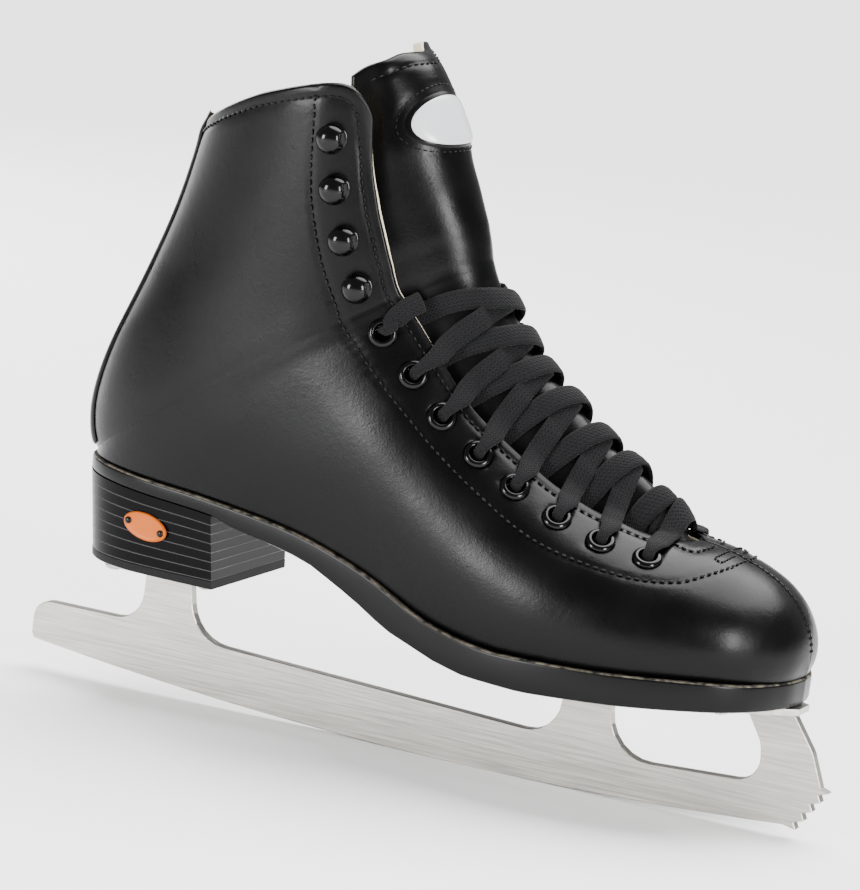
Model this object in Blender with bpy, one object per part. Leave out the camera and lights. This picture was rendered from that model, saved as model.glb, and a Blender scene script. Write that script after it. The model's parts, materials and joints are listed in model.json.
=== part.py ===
"""A right-foot figure skate: blade, leather-board sole and heel, laced boot and flexing tongue.

Run with: blender --background --python part.py
+X points to the toe, +Y to the skater's left (the inner side of a right foot), +Z up.
The origin is on the ice, under the middle of the blade.
Driving dimensions are in millimetres and become metres in new_object().
"""
import math
from functools import lru_cache

import bmesh
import bpy
import numpy as np
from mathutils import Matrix, Vector

MM = 0.001
GAP = 0.3                       # clearance that touching pieces keep

# ---------------------------------------------------------------- driving dimensions
BLADE_HALF = 150.0              # half of the blade's overall length
BLADE_THICK = 4.0
ROCKER_RADIUS = 1400.0          # long curve of the runner's edge
ROCKER_LOW_X = 20.0             # where that curve touches the ice
ROCKER_FLAT = 14.0              # length of the lowest facet
PLATE_THICK = 2.2
HEEL_BOTTOM = 47.3              # underside of the heel above the ice
TOP_LIFT = 3.0
HEEL_SEAT = 5.0                 # sole thickness over the heel
LEATHER = 2.0
LINING = 1.2
STIFFENER = 1.3
TONGUE = 4.0
EYELETS = 8                     # per side
EYELET_HOLE = 2.7
LACE_WIDTH = 5.4
LACE_THICK = 1.0
TONGUE_HINGE = (-4.0, 0.0, 172.0)    # a point of the line that the tongue's top turns about

# Boot stations from the toe tip, round the heel, to the top of the shaft. Each one is a plane
# across the boot: ridge x, z (front or top), edge x, z (feather line, then back seam), widest
# half width, half width at the edge, depth of the widest point (0 ridge .. 1 edge), roundness.
STATIONS = np.array((
    (136.0, 57.0, 134.8, 54.2, 0.0, 0.0, .60, 2.0),
    (136.2, 62.8, 133.6, 54.1, 9.6, 9.0, .65, 2.0),
    (134.9, 68.8, 131.3, 54.0, 16.2, 15.3, .70, 2.0),
    (131.9, 74.6, 127.6, 53.9, 22.4, 21.3, .74, 2.0),
    (127.0, 80.3, 122.3, 53.8, 28.4, 27.2, .76, 2.0),
    (118.6, 86.0, 113.1, 53.8, 34.7, 33.4, .78, 2.0),
    (102.9, 91.6, 97.4, 53.0, 40.6, 38.9, .78, 2.0),
    (82.9, 94.7, 78.7, 51.9, 44.2, 42.2, .76, 2.0),
    (63.3, 101.2, 57.0, 51.2, 45.6, 43.2, .74, 2.0),
    (48.3, 108.8, 37.0, 51.3, 44.6, 41.4, .70, 2.0),
    (33.0, 120.0, 14.0, 55.3, 42.3, 37.0, .65, 2.0),
    (19.5, 131.5, -12.0, 65.5, 40.0, 32.3, .60, 2.1),
    (11.3, 144.4, -40.0, 73.3, 38.5, 29.3, .55, 2.2),
    (6.6, 156.0, -72.0, 78.0, 37.0, 28.6, .50, 2.3),
    (5.0, 163.2, -98.0, 80.3, 36.3, 27.6, .46, 2.3),
    (4.6, 166.6, -112.5, 81.7, 36.0, 24.6, .44, 2.3),
    (4.4, 168.8, -122.0, 82.5, 36.0, 18.8, .42, 2.3),
    (4.2, 170.4, -128.0, 82.9, 36.0, 10.0, .41, 2.3),
    (3.9, 172.0, -130.2, 83.3, 36.0, 0.0, .40, 2.3),
    (3.4, 174.6, -132.6, 90.0, 36.0, 0.0, .39, 2.3),
    (2.2, 179.0, -133.4, 101.0, 36.0, 0.0, .38, 2.2),
    (-0.3, 184.2, -129.5, 119.0, 36.3, 0.0, .37, 2.1),
    (-6.8, 194.0, -118.8, 146.0, 37.0, 0.0, .36, 2.0),
    (-12.8, 208.0, -108.8, 173.5, 37.8, 0.0, .36, 2.0),
    (-16.5, 234.0, -102.0, 201.6, 38.5, 0.0, .36, 2.0),
))
TOP_S = len(STATIONS) - 1       # station of the collar
HEEL_S = 18                     # station of the heel's back corner; back seam above it
THROAT_S = 6.45                 # station where the facings part
TOE_TURN = (75.0, 65.0, 1.6)    # the toe turns inward: from this x, over this length, this far
COLLAR_FROM_S = 21.5            # above this station the rows bend to the collar line
COLLAR_ROW = 28.0               # spacing of the top two stations

# half of the opening between the facings, by station
FACING_S = (THROAT_S, 6.6, 7, 8, 9, 10, 11, 12, 13, 14, 16, 18, 20, 22, 24)
FACING_Y = (0, 6.5, 12.0, 16.5, 18.8, 20.5, 21.8, 23, 24, 25, 26, 26.8, 28, 30, 31.5)
# rise of the tongue over the boot's surface, along its middle, by station
LIFT_S = (5, 6.45, 6.6, 7, 7.5, 8, 9, 10, 11, 12, 13, 14, 16, 18, 20, 21, 22, 23, 23.5, 24, 24.4)
LIFT = (-7, -6.9, -3.2, 4.0, 8.8, 11.4, 12.4, 13.2, 12.5, 10.6, 7.8, 5.0, 3.0, 2.2, 2.0, 2.6, 4.6, 5.0,
        1.2, -5.5, -12.0)
UNDER_S, UNDER = (23, 24.4), (-6.8, -11.5)    # tongue surface where it lies under the facings

ROOT_COLOURS = {                # name: colour, roughness, metallic
    "leather": ((.018, .018, .019), .38, 0),
    "lining": ((.72, .66, .50), .85, 0),
    "board": ((.32, .22, .13), .8, 0),
    "footbed": ((.20, .19, .18), .8, 0),
    "cork": ((.55, .38, .22), .9, 0),
    "sole": ((.014, .014, .015), .45, 0),
    "steel": ((.62, .61, .58), .3, 1),
    "screw": ((.55, .54, .52), .3, 1),
    "black_metal": ((.008, .008, .009), .12, 0),
    "lace": ((.022, .022, .024), .9, 0),
    "badge_white": ((.85, .86, .88), .3, 0),
    "badge_copper": ((.75, .26, .06), .35, 1),
    "clear_tip": ((.03, .03, .03), .2, 0),
}


# ---------------------------------------------------------------- boot surface
@lru_cache(maxsize=None)
def station(s):
    """Station values at s, on a smooth curve through STATIONS."""
    i = max(0, min(int(math.floor(s)), TOP_S - 1))
    t = s - i
    last = len(STATIONS) - 1
    before = STATIONS[i - 1] if i > 0 else 2 * STATIONS[0] - STATIONS[1]
    after = STATIONS[i + 2] if i + 2 <= last else 2 * STATIONS[last] - STATIONS[last - 1]
    here, there = STATIONS[i], STATIONS[i + 1]
    row = 0.5 * (2 * here + (there - before) * t
                 + (2 * before - 5 * here + 4 * there - after) * t ** 2
                 + (3 * here - 3 * there - before + after) * t ** 3)
    row[4] = max(row[4], 0.0)
    row[5] = min(max(row[5], 0.0), row[4])
    if s >= HEEL_S:
        row[5] = 0.0
    return tuple(row)


def centre_y(x):
    """Sideways place of the boot's centre plane: the toe turns inward."""
    start, length, shift = TOE_TURN
    return shift * max(0.0, (x - start) / length) ** 2


def raw_skin(s, v):
    """x, half width and z of the boot surface; v runs from the ridge (0) to the edge (1)."""
    ridge_x, ridge_z, edge_x, edge_z, wide, edge, depth, power = station(s)
    if v <= 0.5:
        q = depth * (1 - math.cos(v * math.pi))
        y = wide * math.sin(v * math.pi)
    else:
        t = 2 * v - 1
        closing = 1 - edge / wide if wide > 0 else 0
        u = t * (1 - closing) + math.sin(t * math.pi / 2) * closing
        q = depth + (1 - depth) * u
        y = max(0.0, wide ** power - (wide ** power - edge ** power) * u ** power) ** (1 / power)
    return np.array((ridge_x + (edge_x - ridge_x) * q, y, ridge_z + (edge_z - ridge_z) * q))


def facing_v(s, extra=0.0):
    """v of the facing edge, or of a line further from the middle by extra."""
    half = np.interp(s, FACING_S, FACING_Y) + extra
    wide = station(s)[4]
    return math.asin(min(1.0, max(0.0, half / wide))) / math.pi if wide > 0 else 0.0


@lru_cache(maxsize=None)
def collar_arc(v):
    """Distance round the collar from the facing edge to v."""
    path = [raw_skin(TOP_S, a) for a in np.linspace(facing_v(TOP_S), max(v, facing_v(TOP_S)), 12)]
    return sum(np.linalg.norm(b - a) for a, b in zip(path, path[1:]))


@lru_cache(maxsize=None)
def collar_s(v):
    """Station that the collar line reaches at v: a low arch with a rounded front corner."""
    corner = 13.0
    t = max(0.0, (v - facing_v(TOP_S)) / (1 - facing_v(TOP_S)))
    arc = collar_arc(v)
    rise = 5.2 * math.sin(math.pi * t ** 0.8) ** 1.2 - 3.0 * max(0.0, 1 - arc / 45.0)
    drop = corner - math.sqrt(corner ** 2 - (corner - arc) ** 2) if arc < corner else 0.0
    return TOP_S + (rise - drop) / COLLAR_ROW


def skin(s, v, side):
    """Point on the outer leather; side is -1 for the right (outer) half, +1 for the left."""
    if s > COLLAR_FROM_S:
        s = COLLAR_FROM_S + (s - COLLAR_FROM_S) * (collar_s(v) - COLLAR_FROM_S) / (TOP_S - COLLAR_FROM_S)
    x, y, z = raw_skin(s, v)
    return np.array((x, centre_y(x) + side * y, z))


def mirrored(s, v, side):
    """skin(), carried on past the ridge, the back seam and the toe tip onto the other half."""
    if v < 0:
        return skin(s, -v, -side)
    if v > 1:
        return skin(s, 2 - v, -side) if s >= HEEL_S else skin(s, 1, side)
    if s < 0:
        return skin(-s, v, -side)
    return skin(s, v, side)


def unit(vector):
    return vector / max(np.linalg.norm(vector), 1e-9)


@lru_cache(maxsize=None)
def normal(s, v, side):
    """Outward direction of the boot surface."""
    if s < .1:
        return np.array((1.0, 0.0, 0.0))
    across = mirrored(s, v + .01, side) - mirrored(s, v - .01, side)
    along = mirrored(min(s + .02, TOP_S + .4), v, side) - mirrored(s - .02, v, side)
    out = unit(np.cross(across, along))
    ridge_x, ridge_z, edge_x, edge_z, _, _, depth, _ = station(s)
    core_x = min(ridge_x + (edge_x - ridge_x) * depth, 118.0)
    core = np.array((core_x, centre_y(core_x), ridge_z + (edge_z - ridge_z) * depth))
    return out if np.dot(out, skin(s, v, side) - core) > 0 else -out


def offset_skin(s, v, side, out, seam_gap=0.0):
    """Point at a distance out from the leather, kept on its own side of the centre plane."""
    point = skin(s, v, side) + normal(s, v, side) * out
    middle = centre_y(point[0])
    point[1] = middle + side * max(side * (point[1] - middle), seam_gap)
    return point


def smooth_step(value):
    value = min(1.0, max(0.0, value))
    return value * value * (3 - 2 * value)


def lining_depth(s, v):
    """Depth of the lining's outer face: deeper where a stiffener lies under the leather."""
    heel = smooth_step((v - .46) / .12) * smooth_step((s - 11.6) / .9) * smooth_step((22.2 - s) / .9)
    toe = smooth_step((6.6 - s) / .9)
    return LEATHER + 1.5 * GAP + (STIFFENER + GAP) * max(heel, toe)


def tongue_rise(s, half):
    """Tongue surface over the boot surface, at a sideways distance half from the middle."""
    lift = float(np.interp(s, LIFT_S, LIFT))
    under = float(np.interp(s, UNDER_S, UNDER))
    reach = 0.94 * max(float(np.interp(s, FACING_S, FACING_Y)), 10.0)
    bump = max(0.0, math.cos(math.pi / 2 * min(1.0, abs(half) / reach))) ** 1.2
    return under + (lift - under) * bump


def tongue_point(s, w, out):
    """Point of the tongue; w is the signed sideways distance from the middle."""
    side = -1 if w < 0 else 1
    wide = station(s)[4]
    v = math.asin(min(1.0, abs(w) / wide)) / math.pi
    return raw_offset(s, v, side, tongue_rise(s, w) + out)


def raw_offset(s, v, side, out):
    """Like offset_skin(), but without the bend of the collar line."""
    def place(a, b, c):
        if b < 0:
            b, c = -b, -c
        x, y, z = raw_skin(a, b)
        return np.array((x, centre_y(x) + c * y, z))
    across = place(s, v + .01, side) - place(s, v - .01, side)
    along = place(s + .02, v, side) - place(s - .02, v, side)
    out_dir = unit(np.cross(across, along))
    if out_dir[0] < 0 and out_dir[2] < .3:
        out_dir = -out_dir
    if np.dot(out_dir, np.array((1.0, 0.0, 0.4))) < 0:
        out_dir = -out_dir
    return place(s, v, side) + out_dir * out


# ---------------------------------------------------------------- Blender helpers
for old in list(bpy.data.objects):
    bpy.data.objects.remove(old, do_unlink=True)

MATERIALS = {}
for slot, (colour, roughness, metallic) in ROOT_COLOURS.items():
    made = bpy.data.materials.new(slot)
    made.use_nodes = True
    shader = made.node_tree.nodes["Principled BSDF"]
    shader.inputs["Base Color"].default_value = (*colour, 1)
    shader.inputs["Roughness"].default_value = roughness
    shader.inputs["Metallic"].default_value = metallic
    MATERIALS[slot] = made


def new_object(name, verts, faces, slot, angle=40):
    """Mesh object from points in millimetres, with faces turned outward."""
    mesh = bpy.data.meshes.new(name)
    mesh.from_pydata([tuple(float(c) * MM for c in p) for p in verts], [], faces)
    work = bmesh.new()
    work.from_mesh(mesh)
    bmesh.ops.recalc_face_normals(work, faces=work.faces)
    if work.calc_volume(signed=True) < 0:
        bmesh.ops.reverse_faces(work, faces=work.faces)
    work.to_mesh(mesh)
    work.free()
    mesh.shade_smooth()
    mesh.set_sharp_from_angle(angle=math.radians(angle))
    obj = bpy.data.objects.new(name, mesh)
    bpy.context.scene.collection.objects.link(obj)
    if slot:
        mesh.materials.append(MATERIALS[slot])
    return obj


def sheet(name, cells, place, slot, layers=2):
    """Closed shell from surface cells; place(key, layer) gives a point of face 0 or face 1."""
    cells = [half for cell in cells for half in (cell[:3], cell[:1] + cell[2:]) if len(half) > 2]
    keys = sorted({k for cell in cells for k in cell})
    index = {k: i for i, k in enumerate(keys)}
    count = len(keys)
    verts = [place(k, layer) for layer in range(layers) for k in keys]
    faces = [tuple(index[k] for k in cell) for cell in cells]
    faces += [tuple(index[k] + count for k in reversed(cell)) for cell in cells]
    uses = {}
    for cell in cells:
        for a, b in zip(cell, cell[1:] + cell[:1]):
            uses.setdefault(frozenset((a, b)), []).append((a, b))
    for pair in uses.values():
        if len(pair) == 1:
            a, b = pair[0]
            faces.append((index[b], index[a], index[a] + count, index[b] + count))
    return new_object(name, verts, faces, slot)


def grid_cells(rows, columns, key):
    """Quads of a grid; key(i, j) names its points, and equal names are one point."""
    cells = []
    for i in range(rows - 1):
        for j in range(columns - 1):
            corners = [key(i, j), key(i, j + 1), key(i + 1, j + 1), key(i + 1, j)]
            cell = [k for n, k in enumerate(corners) if k not in corners[:n]]
            if len(cell) > 2:
                cells.append(tuple(cell))
    return cells


def cut(target, cutters):
    """Subtract hidden cutter objects from target."""
    for cutter in cutters:
        cutter.hide_render = True
        cutter.display_type = "WIRE"
        modifier = target.modifiers.new("cut_" + cutter.name, "BOOLEAN")
        modifier.operation = "DIFFERENCE"
        modifier.solver = "EXACT"
        modifier.object = cutter


def frame_of(axis, hint=(0, 0, 1)):
    """Two directions square to axis, the second as near as possible to hint."""
    axis = unit(np.array(axis, float))
    first = np.cross(np.array(hint, float), axis)
    if np.linalg.norm(first) < 1e-4:
        first = np.cross(np.array((1.0, 0, 0)), axis)
    first = unit(first)
    return first, np.cross(axis, first)


def turned(name, profile, centre, axis, slot, segments=12, ring=False, angle=40):
    """Solid turned about axis from (radius, height) points; a ring's profile is a closed loop."""
    first, second = frame_of(axis)
    axis = unit(np.array(axis, float))
    verts, rows = [], []
    for radius, height in profile:
        if radius == 0:
            rows.append([len(verts)] * segments)
            verts.append(centre + axis * height)
            continue
        rows.append(list(range(len(verts), len(verts) + segments)))
        for k in range(segments):
            turn = 2 * math.pi * k / segments
            verts.append(centre + axis * height
                         + (first * math.cos(turn) + second * math.sin(turn)) * radius)
    faces = []
    pairs = list(zip(rows, rows[1:] + rows[:1])) if ring else list(zip(rows, rows[1:]))
    for low, high in pairs:
        for k in range(segments):
            n = (k + 1) % segments
            corners = [low[k], low[n], high[n], high[k]]
            face = [c for m, c in enumerate(corners) if c not in corners[:m]]
            if len(face) > 2:
                faces.append(tuple(face))
    return new_object(name, verts, faces, slot, angle)


def rounded(corners, steps=6):
    """Outline through (x, z, radius) corners, each one rounded to its radius."""
    outline = []
    for k, (x, z, radius) in enumerate(corners):
        here = np.array((x, z))
        if radius == 0:
            outline.append(here)
            continue
        back = unit(np.array(corners[k - 1][:2]) - here)
        ahead = unit(np.array(corners[(k + 1) % len(corners)][:2]) - here)
        half = math.acos(max(-1, min(1, float(np.dot(back, ahead))))) / 2
        start, end = here + back * radius / math.tan(half), here + ahead * radius / math.tan(half)
        middle = here + unit(back + ahead) * radius / math.sin(half)
        sweep = math.pi - 2 * half
        for n in range(steps + 1):
            a = n / steps
            arm = (start - middle) * math.sin((1 - a) * sweep) + (end - middle) * math.sin(a * sweep)
            outline.append(middle + arm / math.sin(sweep))
    return outline


def plate(name, outline, low, high, slot, bevel=0.0, axis="z", cutters=()):
    """Extruded outline: along Z between functions of x, or along Y between two numbers."""
    count = len(outline)
    verts = []
    for level in (low, high):
        for a, b in outline:
            verts.append((a, level, b) if axis == "y" else (a, b, level(a)))
    faces = [tuple(range(count)), tuple(range(2 * count - 1, count - 1, -1))]
    faces += [(k, (k + 1) % count, (k + 1) % count + count, k + count) for k in range(count)]
    obj = new_object(name, verts, faces, slot, 30)
    cut(obj, cutters)
    if bevel:
        modifier = obj.modifiers.new("bevel", "BEVEL")
        modifier.width = bevel * MM
        modifier.segments = 1
        modifier.limit_method = "ANGLE"
        modifier.angle_limit = math.radians(50)
    return obj


# ---------------------------------------------------------------- blade and its plates
def sole_bottom(x):
    """Height of the outsole's underside along the boot."""
    xs = (-71.5, -42, -33, -14.5, -1, 20, 32, 54, 87, 112, 126, 138)
    zs = (71.6, 65.9, 63.4, 55.2, 48.3, 42.4, 40.4, 39.8, 41.7, 43.7, 44.6, 45.1)
    return float(np.interp(x, xs, zs))


def rocker_z(x):
    """Height of the runner's edge over the ice."""
    sag = lambda distance: distance ** 2 / (2 * ROCKER_RADIUS)
    return max(0.0, sag(x - ROCKER_LOW_X) - sag(ROCKER_FLAT / 2))


def blade_runner():
    plate_top = HEEL_BOTTOM - GAP - PLATE_THICK - GAP
    toe_top = lambda x: sole_bottom(x) - 2 * GAP - PLATE_THICK
    outline = rounded([
        (-BLADE_HALF, 12.0, 0),
        (-BLADE_HALF, 24.3, 6.5),           # tail
        (-107.8, 24.4, 10),
        (-107.5, plate_top, 0),             # rear stanchion
        (-90.2, plate_top, 0),
        (-86.6, 22.2, 15),
        (52.8, 16.9, 12),                   # runner's top between the stanchions
        (52.8, toe_top(52.8), 0),           # front stanchion
        (70.3, toe_top(70.3), 0),
        (71.5, 14.0, 15),                   # open window behind the toe pick
        (126.0, 17.0, 8),
        (124.2, 30.5, 12),
        (117.5, toe_top(117.5), 0),
        (134.3, toe_top(134.3), 0),
        (142.6, 30.5, 10),
        (147.0, 19.3, 0),
    ])
    tooth, notch_in = np.array((-2.4, -3.6)), np.array((-3.6, -1.2))
    tip = np.array((BLADE_HALF, 18.2))
    for k in range(5):                      # toe pick
        outline.append(tip + tooth * k)
        outline.append(tip + tooth * k + notch_in)
    outline[-1] = np.array((135.5, rocker_z(135.5)))
    flats = [ROCKER_LOW_X + ROCKER_FLAT * (k - .5) for k in range(8, -13, -1)]
    outline += [np.array((x, rocker_z(x))) for x in flats if abs(x) < 132]
    outline.append(np.array((-BLADE_HALF + 1, rocker_z(-BLADE_HALF + 1))))
    plate("blade_runner", outline, -BLADE_THICK / 2, BLADE_THICK / 2, "steel", .25, "y")


HEEL_SCREWS = [(x, y) for x in (-116.0, -80.0) for y in (-10.5, 10.5)]
TOE_SCREWS = [(60.0, -17.0), (60.0, 17.0), (90.0, 0.0), (112.0, -12.0), (112.0, 12.0)]


def screw_cutters(name, places, low, high, radius):
    made = []
    for k, (x, y) in enumerate(places):
        profile = [(0, low), (radius, low), (radius, high), (0, high)]
        made.append(turned(f"{name}_{k}", profile, np.array((x, y, 0.0)), (0, 0, 1), None, 10))
    return made


def screws(group, places, under, length):
    """Pan-head wood screws driven up through a blade plate."""
    for k, (x, y) in enumerate(places):
        z = under(x) - GAP
        profile = [(0, -1.6), (2.0, -1.5), (3.2, -.9), (3.5, 0), (1.5, 0), (1.5, length - 2), (0, length)]
        turned(f"{group}_screw_{k + 1}", profile, np.array((x, y, z)), (0, 0, 1), "screw", 10)


def blade_plates():
    heel_low = HEEL_BOTTOM - GAP - PLATE_THICK
    heel = rounded([(-124, -9, 5), (-112, -17, 8), (-77, -17, 6), (-77, 17, 6), (-112, 17, 8), (-124, 9, 5)], 4)
    plate("heel_plate", heel, lambda x: heel_low, lambda x: heel_low + PLATE_THICK, "steel",
          cutters=screw_cutters("heel_plate_hole", HEEL_SCREWS, 30, 60, 1.9))
    rows = [46, 54, 66, 78, 92, 106, 120, 130, 137]
    half = [12, 21, 26, 25, 21, 19, 15, 10, 5]
    levels = lambda x: sole_bottom(x) - GAP
    verts, faces = [], []
    for x, w in zip(rows, half):
        for drop in (0, PLATE_THICK):
            verts += [(x, -w, levels(x) - drop), (x, 0, levels(x) - drop), (x, w, levels(x) - drop)]
    for k in range(len(rows) - 1):
        a, b = 6 * k, 6 * k + 6
        faces += [(a, a + 1, b + 1, b), (a + 1, a + 2, b + 2, b + 1)]
        faces += [(a + 3, a + 4, b + 4, b + 3), (a + 4, a + 5, b + 5, b + 4)]
        faces += [(a, b, b + 3, a + 3), (a + 2, b + 2, b + 5, a + 5)]
    for a in (0, 6 * (len(rows) - 1)):
        faces += [(a, a + 1, a + 4, a + 3), (a + 1, a + 2, a + 5, a + 4)]
    toe = new_object("toe_plate", verts, faces, "steel", 30)
    cut(toe, screw_cutters("toe_plate_hole", TOE_SCREWS, 30, 44, 1.9))
    screws("heel_plate", HEEL_SCREWS, lambda x: heel_low, 14)
    screws("toe_plate", TOE_SCREWS, lambda x: levels(x) - PLATE_THICK, 9)


# ---------------------------------------------------------------- sole, heel and insoles
def outline_point(s, side, grow):
    """Plan point of the feather line, moved outward by grow."""
    def at(a):
        _, _, x, _, _, edge, _, _ = station(max(a, 0))
        return np.array((x, edge if a >= 0 else -edge))
    ahead, behind = at(s - .05 if s > .05 else -.05), at(min(s + .05, HEEL_S - .001))
    if s >= HEEL_S:
        out = np.array((-1.0, 0.0))
    elif s <= 0:
        out = np.array((1.0, 0.0))
    else:
        run = unit(behind - ahead)
        out = np.array((-run[1], run[0])) if run[0] < 0 else np.array((run[1], -run[0]))
        out = out if out[1] > 0 else -out
    point = at(s) + out * grow
    return np.array((point[0], centre_y(point[0]) + side * max(point[1], 0.0)))


def edge_z(s):
    return station(s)[3]


def loft(name, rows, levels, slot, columns=2):
    """Slab from plan rows; each level is (grow by s, z by (s, x), shift in x)."""
    verts, faces, tops = [], [], []
    for grow, height, shift in levels:
        level = []
        for s in rows:
            right, left = (outline_point(s, side, grow(s)) for side in (-1, 1))
            tip = abs(right[1] - left[1]) < .02
            line = []
            for c in range(columns):
                if tip and c:
                    line.append(line[0])
                    continue
                x, y = right + (left - right) * c / (columns - 1)
                line.append(len(verts))
                verts.append((x + shift, y, height(s, x)))
            level.append(line)
        tops.append(level)

    def add(*corners):
        face = [c for n, c in enumerate(corners) if c not in corners[:n]]
        if len(face) > 2:
            faces.append(tuple(face))
    for level in (tops[0], tops[-1]):
        for a, b in zip(level, level[1:]):
            for c in range(columns - 1):
                add(a[c], a[c + 1], b[c + 1], b[c])
    for high, low in zip(tops, tops[1:]):
        for k in range(len(rows) - 1):
            for c in (0, -1):
                add(high[k][c], high[k + 1][c], low[k + 1][c], low[k][c])
        for k in (0, -1):
            for c in range(columns - 1):
                add(high[k][c], high[k][c + 1], low[k][c + 1], low[k][c])
    return new_object(name, verts, faces, slot)


def welt(s):
    """How far the sole stands out past the upper."""
    return 1.2 + 1.6 * smooth_step((11.5 - s) / 2.5) - 1.9 * smooth_step((5.0 - s) / 3.5)


def outsole():
    rows = [0, .3, .65, 1, 1.5, 2, 3, 4, 5, 6, 7, 8, 9, 9.7, 10.3, 11, 11.5, 12, 12.5, 13,
            14, 15, 15.6, 16.2, 16.8, 17.3, 17.7, 18]
    top = lambda s, x: edge_z(s) - 2 * GAP
    def bottom(s, x):
        seat = edge_z(s) - GAP - HEEL_SEAT
        return seat if s >= 13 else min(seat, sole_bottom(x))
    body = loft("outsole", rows, [
        (lambda s: welt(s) - .5, top, 0),
        (welt, lambda s, x: top(s, x) - 1.2, 0),
        (welt, lambda s, x: bottom(s, x) + 1.2, 0),
        (lambda s: welt(s) - .9, bottom, 0)], "sole")
    cut(body, screw_cutters("sole_hole", TOE_SCREWS, 30, 52, 1.8))


def heel_rows():
    return [13, 13.6, 14.3, 15, 15.6, 16.2, 16.8, 17.3, 17.7, 18]


def heel():
    """Stacked heel under the seat, and the top lift that wears."""
    split = HEEL_BOTTOM + TOP_LIFT
    seat = lambda s, x: edge_z(s) - HEEL_SEAT - 2 * GAP
    block = loft("heel_block", heel_rows(), [
        (lambda s: 1.0, seat, 0),
        (lambda s: .3, lambda s, x: split + GAP, 2.6)], "sole", 5)
    lift = loft("heel_top_lift", heel_rows(), [
        (lambda s: .3, lambda s, x: split, 2.6),
        (lambda s: 0.0, lambda s, x: HEEL_BOTTOM, 2.9)], "sole")
    cut(block, screw_cutters("heel_hole", HEEL_SCREWS, 40, 60, 1.8))
    cut(lift, screw_cutters("lift_hole", HEEL_SCREWS, 40, 60, 1.8))


def heel_badge():
    """Oval plate with two pins on the outer side of the heel."""
    centre = np.array((-96.5, -28.9, 64.2))
    along, up = unit(np.array((.98, -.075, -.17))), unit(np.array((.17, 0, .98)))
    axis = unit(np.cross(along, up))
    across = 24
    verts = []
    for level in (0.0, .8):
        for k in range(across):
            turn = 2 * math.pi * k / across
            verts.append(centre + along * 8.7 * math.cos(turn) + up * 4.6 * math.sin(turn) + axis * level)
    faces = [tuple(range(across)), tuple(range(2 * across - 1, across - 1, -1))]
    faces += [(k, (k + 1) % across, (k + 1) % across + across, k + across) for k in range(across)]
    badge = new_object("heel_badge", verts, faces, "badge_copper", 30)
    holes = []
    for k, step in enumerate((-6.7, 6.7)):
        place = centre + along * step
        holes.append(turned(f"badge_hole_{k}", [(0, -2), (.9, -2), (.9, 3), (0, 3)], place, axis, None, 10))
        profile = [(0, .05), (.6, .05), (.6, 1.1), (1.2, 1.15), (.9, 1.7), (0, 1.9)]
        turned(f"heel_badge_pin_{k + 1}", profile, place, axis, "screw", 10)
    cut(badge, holes)


def insoles():
    inner = LEATHER + STIFFENER + LINING + 4 * GAP + 1.2
    rows = [0, .5, 1, 1.5, 2, 3, 4, 5, 6, 7, 8, 9, 10, 11, 12, 13, 14, 15, 15.6, 16.2, 16.8, 17.3, 17.7, 18]
    level = lambda rise: (lambda s, x: edge_z(s) + rise)
    shrink = lambda amount: (lambda s: -amount)
    loft("insole_board", rows, [(shrink(inner), level(4.2), 0), (shrink(inner), level(2.2), 0)], "board")
    loft("footbed", rows, [(shrink(inner + 1.2), level(7.0), 0), (shrink(inner + .8), level(4.5), 0)], "footbed")
    loft("cork_filler", [3.5, 4, 5, 6, 7, 8, 9, 10],
         [(shrink(inner + 3), level(1.9), 0), (shrink(inner + 3), level(0.1), 0)], "cork")
    verts, faces = [], []
    rows = [10.4, 11, 12, 13, 14]
    for s in rows:
        x, z = station(s)[2], edge_z(s)
        for y, rise in ((-7, .3), (7, .3), (7, 1.6), (-7, 1.6)):
            verts.append((x, y, z + rise))
    for k in range(len(rows) - 1):
        faces += [(4 * k + c, 4 * k + (c + 1) % 4, 4 * k + (c + 1) % 4 + 4, 4 * k + c + 4) for c in range(4)]
    faces += [(0, 1, 2, 3), tuple(range(len(verts) - 4, len(verts)))]
    new_object("shank", verts, faces, "steel")


# ---------------------------------------------------------------- eyelet and hook places
@lru_cache(maxsize=None)
def lacing_places():
    """(s, distance out from the facing edge) of the eyelets, bottom to top, then the hooks."""
    eyelet_s = (6.88, 7.66, 8.58, 9.55, 10.4, 11.35, 12.4, 14.0)
    eyelet_in = (15.6, 14.0, 12.4, 11.8, 11.2, 11.2, 11.2, 12.0)
    hook_s = (19.6, 21.5, 22.6, 23.35)
    hook_in = (12.8, 13.4, 13.5, 14.0)
    return tuple(zip(eyelet_s, eyelet_in)), tuple(zip(hook_s, hook_in))


@lru_cache(maxsize=None)
def inward_v(s, distance):
    """v at an arc distance behind the facing edge."""
    v, travelled = facing_v(s), 0.0
    here = raw_skin(s, v)
    while travelled < distance:
        v += .002
        ahead = raw_skin(s, v)
        travelled += np.linalg.norm(ahead - here)
        here = ahead
    return round(v, 4)


def lacing_frames(side):
    """Surface point and outward direction of each eyelet and each hook on one side."""
    eyelets, hooks = lacing_places()
    frames = []
    for group in (eyelets, hooks):
        spots = [(s, inward_v(s, d)) for s, d in group]
        frames.append([(skin(s, v, side), normal(s, v, side)) for s, v in spots])
    return frames


def hole_cutters(name, side, eyelet_radius, hook_radius):
    made = []
    for kind, group, radius in zip(("eyelet", "hook"), lacing_frames(side), (eyelet_radius, hook_radius)):
        for k, (point, out) in enumerate(group):
            profile = [(0, -9), (radius, -9), (radius, 4), (0, 4)]
            made.append(turned(f"{name}_{kind}_{k}", profile, point, out, None, 10))
    return made


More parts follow.
